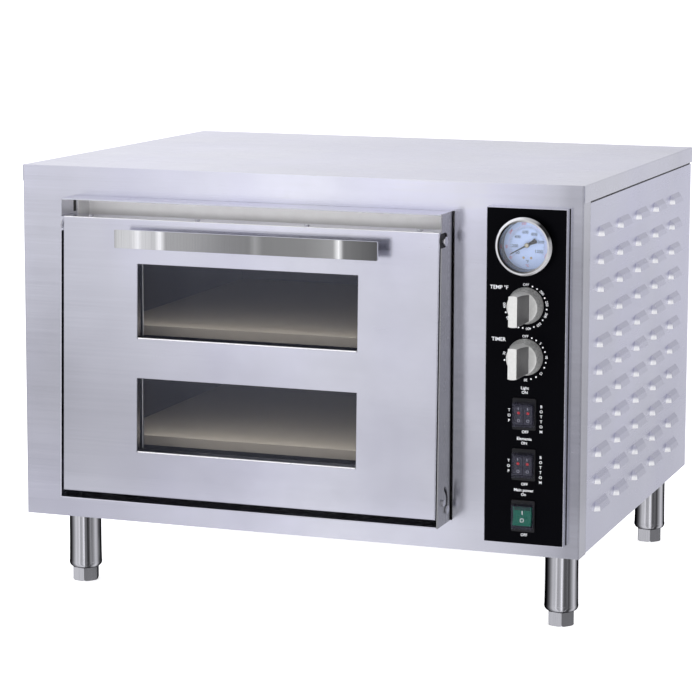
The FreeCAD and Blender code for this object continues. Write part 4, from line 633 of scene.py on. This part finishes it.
for look, names in LOOKS.items():
    for name in names:
        NODES[name].data.materials.clear()
        NODES[name].data.materials.append(mat[look].mat)


# ---------------------------------------------------------------- pieces
def piece(name, bm, look, body):
    """Turn mesh code's result into an object that rides a body."""
    mesh = bpy.data.meshes.new(name)
    bm.to_mesh(mesh)
    bm.free()
    mesh.materials.append(mat[look].mat)
    made = bpy.data.objects.new(name, mesh)
    bpy.context.scene.collection.objects.link(made)
    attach(made, body)


def facing(at, turn=0.0, lean=0.0):
    """Place of a mark on the front: turned clockwise as seen from the front, leaning with its head out."""
    return Matrix.Translation(at) @ Matrix.Rotation(lean, 4, "X") @ Matrix.Rotation(turn, 4, "Y")


def letters(bm, text, size, place, depth=0.04 * MM):
    """Set a line of type on the front, centred on its place."""
    curve = bpy.data.curves.new("letters", "FONT")
    curve.body = text
    curve.size = size
    curve.extrude = depth
    curve.offset = size * 0.010
    curve.resolution_u = 3
    curve.align_x, curve.align_y = "CENTER", "CENTER"
    holder = bpy.data.objects.new("letters", curve)
    mesh = bpy.data.meshes.new_from_object(holder)
    mesh.transform(place @ Matrix.Rotation(math.pi / 2, 4, "X"))
    bm.from_mesh(mesh)
    bpy.data.objects.remove(holder)
    bpy.data.meshes.remove(mesh)
    bpy.data.curves.remove(curve)


def disc(bm, place, radius, depth=0.08 * MM, sides=20):
    """Low raised dot facing the front."""
    bmesh.ops.create_cone(bm, cap_ends=True, segments=sides, radius1=radius, radius2=radius * 0.85,
                          depth=depth, matrix=place @ Matrix.Rotation(math.pi / 2, 4, "X"))


def bar(bm, place, width, height, depth=0.06 * MM):
    """Thin printed stroke facing the front."""
    bmesh.ops.create_cube(bm, size=1.0, matrix=place @ Matrix.Diagonal((width, depth, height, 1)))


def on_dial(centre, y, bearing, radius):
    """Point at a clockwise bearing from straight up, in degrees."""
    a = math.radians(bearing)
    return Vector((centre.x + radius * math.sin(a), y, centre.z + radius * math.cos(a)))


panel_low, panel_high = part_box("control_overlay")
PRINT_Y = panel_low.y - 0.05 * MM
CONTROL_X = (panel_low.x + panel_high.x) / 2
# Heights above the floor in millimetres of each row of switches, and of the word OFF under it.
LIGHT_Z, ELEMENT_Z, POWER_Z = 270.3, 210.7, 150.0
SWITCH_ROWS = ((LIGHT_Z, "Light", "ON", 249.0), (ELEMENT_Z, "Elements", "ON", 187.3),
               (POWER_Z, "Main power", "On", 127.3))
TITLE_SIZE, HEADING_SIZE, LABEL_SIZE, RING_SIZE = 6.2 * MM, 4.9 * MM, 4.6 * MM, 4.2 * MM
RING_RADIUS, RING_DOT_RADIUS, RING_DROP = 25.4 * MM, 25.0 * MM, 1.2 * MM


def panel_point(dx, z):
    """Place on the printed sheet: millimetres right of its middle, millimetres up from the floor."""
    return facing(Vector((CONTROL_X + dx * MM, PRINT_Y, z * MM)))


def ring_labels(bm, knob_name, marks, dots):
    """Ring of numbers and dots round a knob, at bearings in degrees."""
    centre = middle(knob_name) - Vector((0, 0, RING_DROP))
    for text, bearing in marks:
        letters(bm, text, RING_SIZE, facing(on_dial(centre, PRINT_Y, bearing, RING_RADIUS), math.radians(bearing)))
    for bearing in dots:
        disc(bm, facing(on_dial(centre, PRINT_Y, bearing, RING_DOT_RADIUS)), 1.0 * MM)


def add_panel_print():
    """Generic words and numbers on the control panel."""
    bm = bmesh.new()
    temps = [("OFF", 0.0)] + [(str(200 + 50 * i), 48.0 + 31.0 * i) for i in range(7)] + [("600", 271.0)]
    ring_labels(bm, "temperature_knob", temps,
                [18.0, 32.0] + [63.5 + 31.0 * i for i in range(6)] + [252.0])
    times = [("OFF", 0.0), ("5", 45.0), ("10", 84.0), ("15", 131.0), ("20", 178.0), ("30", 280.0)]
    ring_labels(bm, "timer_knob", times, [18.0, 31.0, 57.0, 70.0, 99.0, 113.0, 148.0, 163.0, 200.0, 225.0, 262.0])
    letters(bm, "TEMP °F", TITLE_SIZE, panel_point(-32.0, 416.5))
    letters(bm, "TIMER", TITLE_SIZE, panel_point(-32.0, 356.0))
    for z, heading, above, foot in SWITCH_ROWS:
        letters(bm, heading, HEADING_SIZE, panel_point(0.0, z + 30.2))
        letters(bm, above, LABEL_SIZE, panel_point(0.0, z + 25.0))
        letters(bm, "OFF", LABEL_SIZE, panel_point(1.0, foot))
    for z in (LIGHT_Z, ELEMENT_Z):
        for i, letter in enumerate("TOP"):
            letters(bm, letter, LABEL_SIZE, panel_point(-18.5, z + 3.5 - 6.2 * i))
        for i, letter in enumerate("BOTTOM"):
            letters(bm, letter, LABEL_SIZE, panel_point(20.0, z + 9.5 - 5.9 * i))
    piece("panel_print", bm, "print", "cabinet")


# Scale of the dial: its ends in degrees Fahrenheit, the bearing of its start and its sweep in degrees.
DIAL_FROM, DIAL_TO = 50, 1200
DIAL_START, DIAL_SWEEP = -128.0, 245.5
DIAL_TEXT, DIAL_SMALL_TEXT, DIAL_UNIT_TEXT = 5.0 * MM, 3.8 * MM, 4.2 * MM
# Radii of the ticks and the numbers: Fahrenheit in black, Celsius in red.
BLACK_TICKS, RED_TICKS, BLACK_NUMBERS, RED_NUMBERS = 20.2 * MM, 22.2 * MM, 15.0 * MM, 24.9 * MM


def dial_bearing(value):
    return DIAL_START + (value - DIAL_FROM) * (DIAL_SWEEP / (DIAL_TO - DIAL_FROM))


def add_dial_print():
    """Scales, rivets and the needle's cap."""
    centre = middle("gauge_dial")
    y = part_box("gauge_dial")[0].y - 0.08 * MM
    black, red, rivets = bmesh.new(), bmesh.new(), bmesh.new()
    for value in range(DIAL_FROM, DIAL_TO + 1, 25):
        bearing = dial_bearing(value)
        long_mark = value % 100 == 0
        turn = math.radians(bearing)
        bar(black, facing(on_dial(centre, y, bearing, BLACK_TICKS), turn), 0.4 * MM,
            (2.8 if long_mark else 1.5) * MM)
        bar(red, facing(on_dial(centre, y, bearing, RED_TICKS), turn), 0.32 * MM, 1.1 * MM)
    for value in (DIAL_FROM, 200, 400, 600, 800, 1000, DIAL_TO):
        bearing = dial_bearing(value)
        letters(black, str(value), DIAL_TEXT, facing(on_dial(centre, y, bearing, BLACK_NUMBERS)))
        celsius = str(round((value - 32) / 1.8 / 10) * 10)
        letters(red, celsius, DIAL_SMALL_TEXT,
                facing(on_dial(centre, y, bearing, RED_NUMBERS), math.radians(bearing)))
    letters(black, "°F", DIAL_UNIT_TEXT, facing(Vector((centre.x, y, centre.z - 19.0 * MM))))
    letters(red, "°C", DIAL_SMALL_TEXT, facing(Vector((centre.x, y, centre.z - 23.8 * MM))))
    for dx in (-4.6, 4.4):
        disc(rivets, facing(Vector((centre.x + dx * MM, y - 0.1 * MM, centre.z - 14.8 * MM))), 1.5 * MM, 0.5 * MM)
    piece("dial_print_black", black, "print_black", "cabinet")
    piece("dial_print_red", red, "print_red", "cabinet")
    piece("dial_rivets", rivets, "rivet", "cabinet")
    hub = bmesh.new()
    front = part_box("gauge_pointer")[0].y
    disc(hub, facing(Vector((centre.x, front - 0.12 * MM, centre.z))), 2.5 * MM, 0.25 * MM, 28)
    piece("needle_cap", hub, "hub", "gauge_needle")


# Rockers: their tilt at rest, the pivots' depth, then in millimetres how far the V-shaped front stands out at the
# pivot and at the tips, and half its height.
ROCKER_LEAN = math.radians(6.0)
ROCKER_PIVOT_Y = panel_high.y - 0.98 * MM
ROCKER_WAIST, ROCKER_TIP, ROCKER_HALF = 4.4, 6.2, 11.0
ROCKER_SLOPE = math.atan2(ROCKER_TIP - ROCKER_WAIST, ROCKER_HALF)


def on_rocker(name, pivot_z, up, lift, tilt):
    """Place on the V-shaped front of a tilted rocker; up is in millimetres from its pivot."""
    pivot = Vector((middle(name).x, ROCKER_PIVOT_Y, pivot_z * MM))
    out = ROCKER_WAIST + abs(up) * (ROCKER_TIP - ROCKER_WAIST) / ROCKER_HALF + lift
    at = pivot + Matrix.Rotation(tilt, 3, "X") @ Vector((0, -out * MM, up * MM))
    return facing(at, 0.0, tilt + math.copysign(ROCKER_SLOPE, up))


def add_rocker_marks():
    """Strokes, rings and red markers on the twin rockers; marks and ribs on the power rocker."""
    for kind, z in (("light", LIGHT_Z), ("element", ELEMENT_Z)):
        for level in ("upper", "lower"):
            name, body = f"{kind}_rocker_{level}", f"{kind}_switch_{level}"
            marks, ember = bmesh.new(), bmesh.new()
            bar(marks, on_rocker(name, z, 7.6, 0.08, ROCKER_LEAN), 0.8 * MM, 3.0 * MM)
            letters(marks, "O", 4.8 * MM, on_rocker(name, z, -7.0, 0.08, ROCKER_LEAN))
            disc(ember, on_rocker(name, z, 2.2, 0.12, ROCKER_LEAN), 1.8 * MM, 0.3 * MM)
            piece(name + "_marks", marks, "print_grey", body)
            piece(name + "_marker", ember, "ember", body)
    name = "power_rocker"
    marks, ribs = bmesh.new(), bmesh.new()
    bar(marks, on_rocker(name, POWER_Z, 4.0, 0.1, -ROCKER_LEAN), 1.0 * MM, 4.6 * MM)
    letters(marks, "O", 6.6 * MM, on_rocker(name, POWER_Z, -5.0, 0.1, -ROCKER_LEAN))
    piece("power_rocker_marks", marks, "print", "power_switch")
    for i in range(4):
        bar(ribs, on_rocker(name, POWER_Z, 7.4 + 1.1 * i, 0.05, -ROCKER_LEAN), 20.0 * MM, 0.6 * MM, 0.3 * MM)
    piece("power_rocker_ribs", ribs, "black", "power_switch")


def add_catch_pads():
    """Pads behind the catch notches, between the door's side folds and the cheeks."""
    low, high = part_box("door_front_panel")
    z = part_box("door_side_pins")[1].z - 5.5 * MM
    for side, x in (("left", low.x - 0.5 * MM), ("right", high.x + 0.5 * MM)):
        bm = bmesh.new()
        place = Matrix.Translation((x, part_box("hinge_pins")[0].y + 9.0 * MM, z))
        bmesh.ops.create_cone(bm, cap_ends=True, segments=40, radius1=10.0 * MM, radius2=9.6 * MM,
                              depth=0.7 * MM, matrix=place @ Matrix.Rotation(math.pi / 2, 4, "Y"))
        piece("catch_pad_" + side, bm, "steel_x" if side == "left" else "dark", "door")


def add_seams():
    """Painted shade: black strips in the shaded gaps beside the control tray, under the cover's flange on each
    side, and at the door's jambs.
    """
    low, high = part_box("control_tray")
    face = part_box("front_panel")[0].y
    tray, flange = bmesh.new(), bmesh.new()
    wide = 0.9 * MM
    # Black strips for the shade where the tray meets the front.
    for x in (low.x - wide / 2, high.x + wide / 2):
        bar(tray, facing(Vector((x, face - 0.15 * MM, (low.z + high.z) / 2))), wide, high.z - low.z, 0.3 * MM)
    piece("tray_shade_strip", tray, "black", "cabinet")
    low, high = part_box("front_panel")
    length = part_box("side_panel_right")[1].y - low.y - 12.0 * MM
    # Black strips for the shade in the gap under the cover's flange.
    for x in (low.x + 0.55 * MM, high.x - 0.55 * MM):
        middle_y = low.y + 6.0 * MM + length / 2
        bar(flange, facing(Vector((x, middle_y, FLANGE_GAP_Z))), 0.5 * MM, 1.7 * MM, length)
    piece("flange_shade_strip", flange, "black", "cabinet")
    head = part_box("door_front_panel")[1].z
    jamb = bmesh.new()
    y = door_face(head) + 36.5 * MM
    # Black strips for the shade in the jambs beside the door's head.
    for x in (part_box("cheek_left")[1].x + 0.2 * MM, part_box("cheek_right")[0].x - 0.2 * MM):
        bar(jamb, facing(Vector((x, y, head + 10.5 * MM))), 0.4 * MM, 17.0 * MM, 6.0 * MM)
    piece("jamb_shade_strips", jamb, "black", "cabinet")


# Height of the gap under the cover's flange; middle, heights and half sizes of the door's windows.
FLANGE_GAP_Z = 514.8 * MM
WINDOW_X, WINDOW_Z = -43.0 * MM, (243.0 * MM, 381.0 * MM)
WINDOW_HALF_W, WINDOW_HALF_H = 140.0 * MM, 45.0 * MM


def door_face(z):
    """Front plane of the closed door, which leans between the surround's bottom and top plates."""
    bottom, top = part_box("surround_bottom")[0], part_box("surround_top")
    share = (z - bottom.z) / (top[1].z - bottom.z)
    return bottom.y + (top[0].y - bottom.y) * share


def add_folds():
    """Painted highlights along folds: near-white strips at the foot of each window, the edge of each window sleeve
    and the head of the door.
    """
    bm = bmesh.new()
    for z in WINDOW_Z:
        foot = z - WINDOW_HALF_H
        bar(bm, facing(Vector((WINDOW_X, door_face(foot) + 1.6 * MM, foot + 0.5 * MM))),
            2 * WINDOW_HALF_W - 1.0 * MM, 1.3 * MM, 2.6 * MM)
        bar(bm, facing(Vector((WINDOW_X - WINDOW_HALF_W + 0.4 * MM, door_face(z) + 15.0 * MM, z))),
            0.8 * MM, 2 * WINDOW_HALF_H - 4.0 * MM, 0.8 * MM)
    low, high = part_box("door_front_panel")
    head = high.z - 0.62 * MM
    bar(bm, facing(Vector(((low.x + high.x) / 2, door_face(head) + 0.62 * MM, head))),
        high.x - low.x - 3.0 * MM, 1.0 * MM, 1.0 * MM)
    bmesh.ops.bevel(bm, geom=bm.edges[:], offset=0.2 * MM, segments=2, affect="EDGES")
    piece("door_fold_highlights", bm, "lip", "door")


add_folds()
add_seams()
add_panel_print()
add_dial_print()
add_rocker_marks()
add_catch_pads()
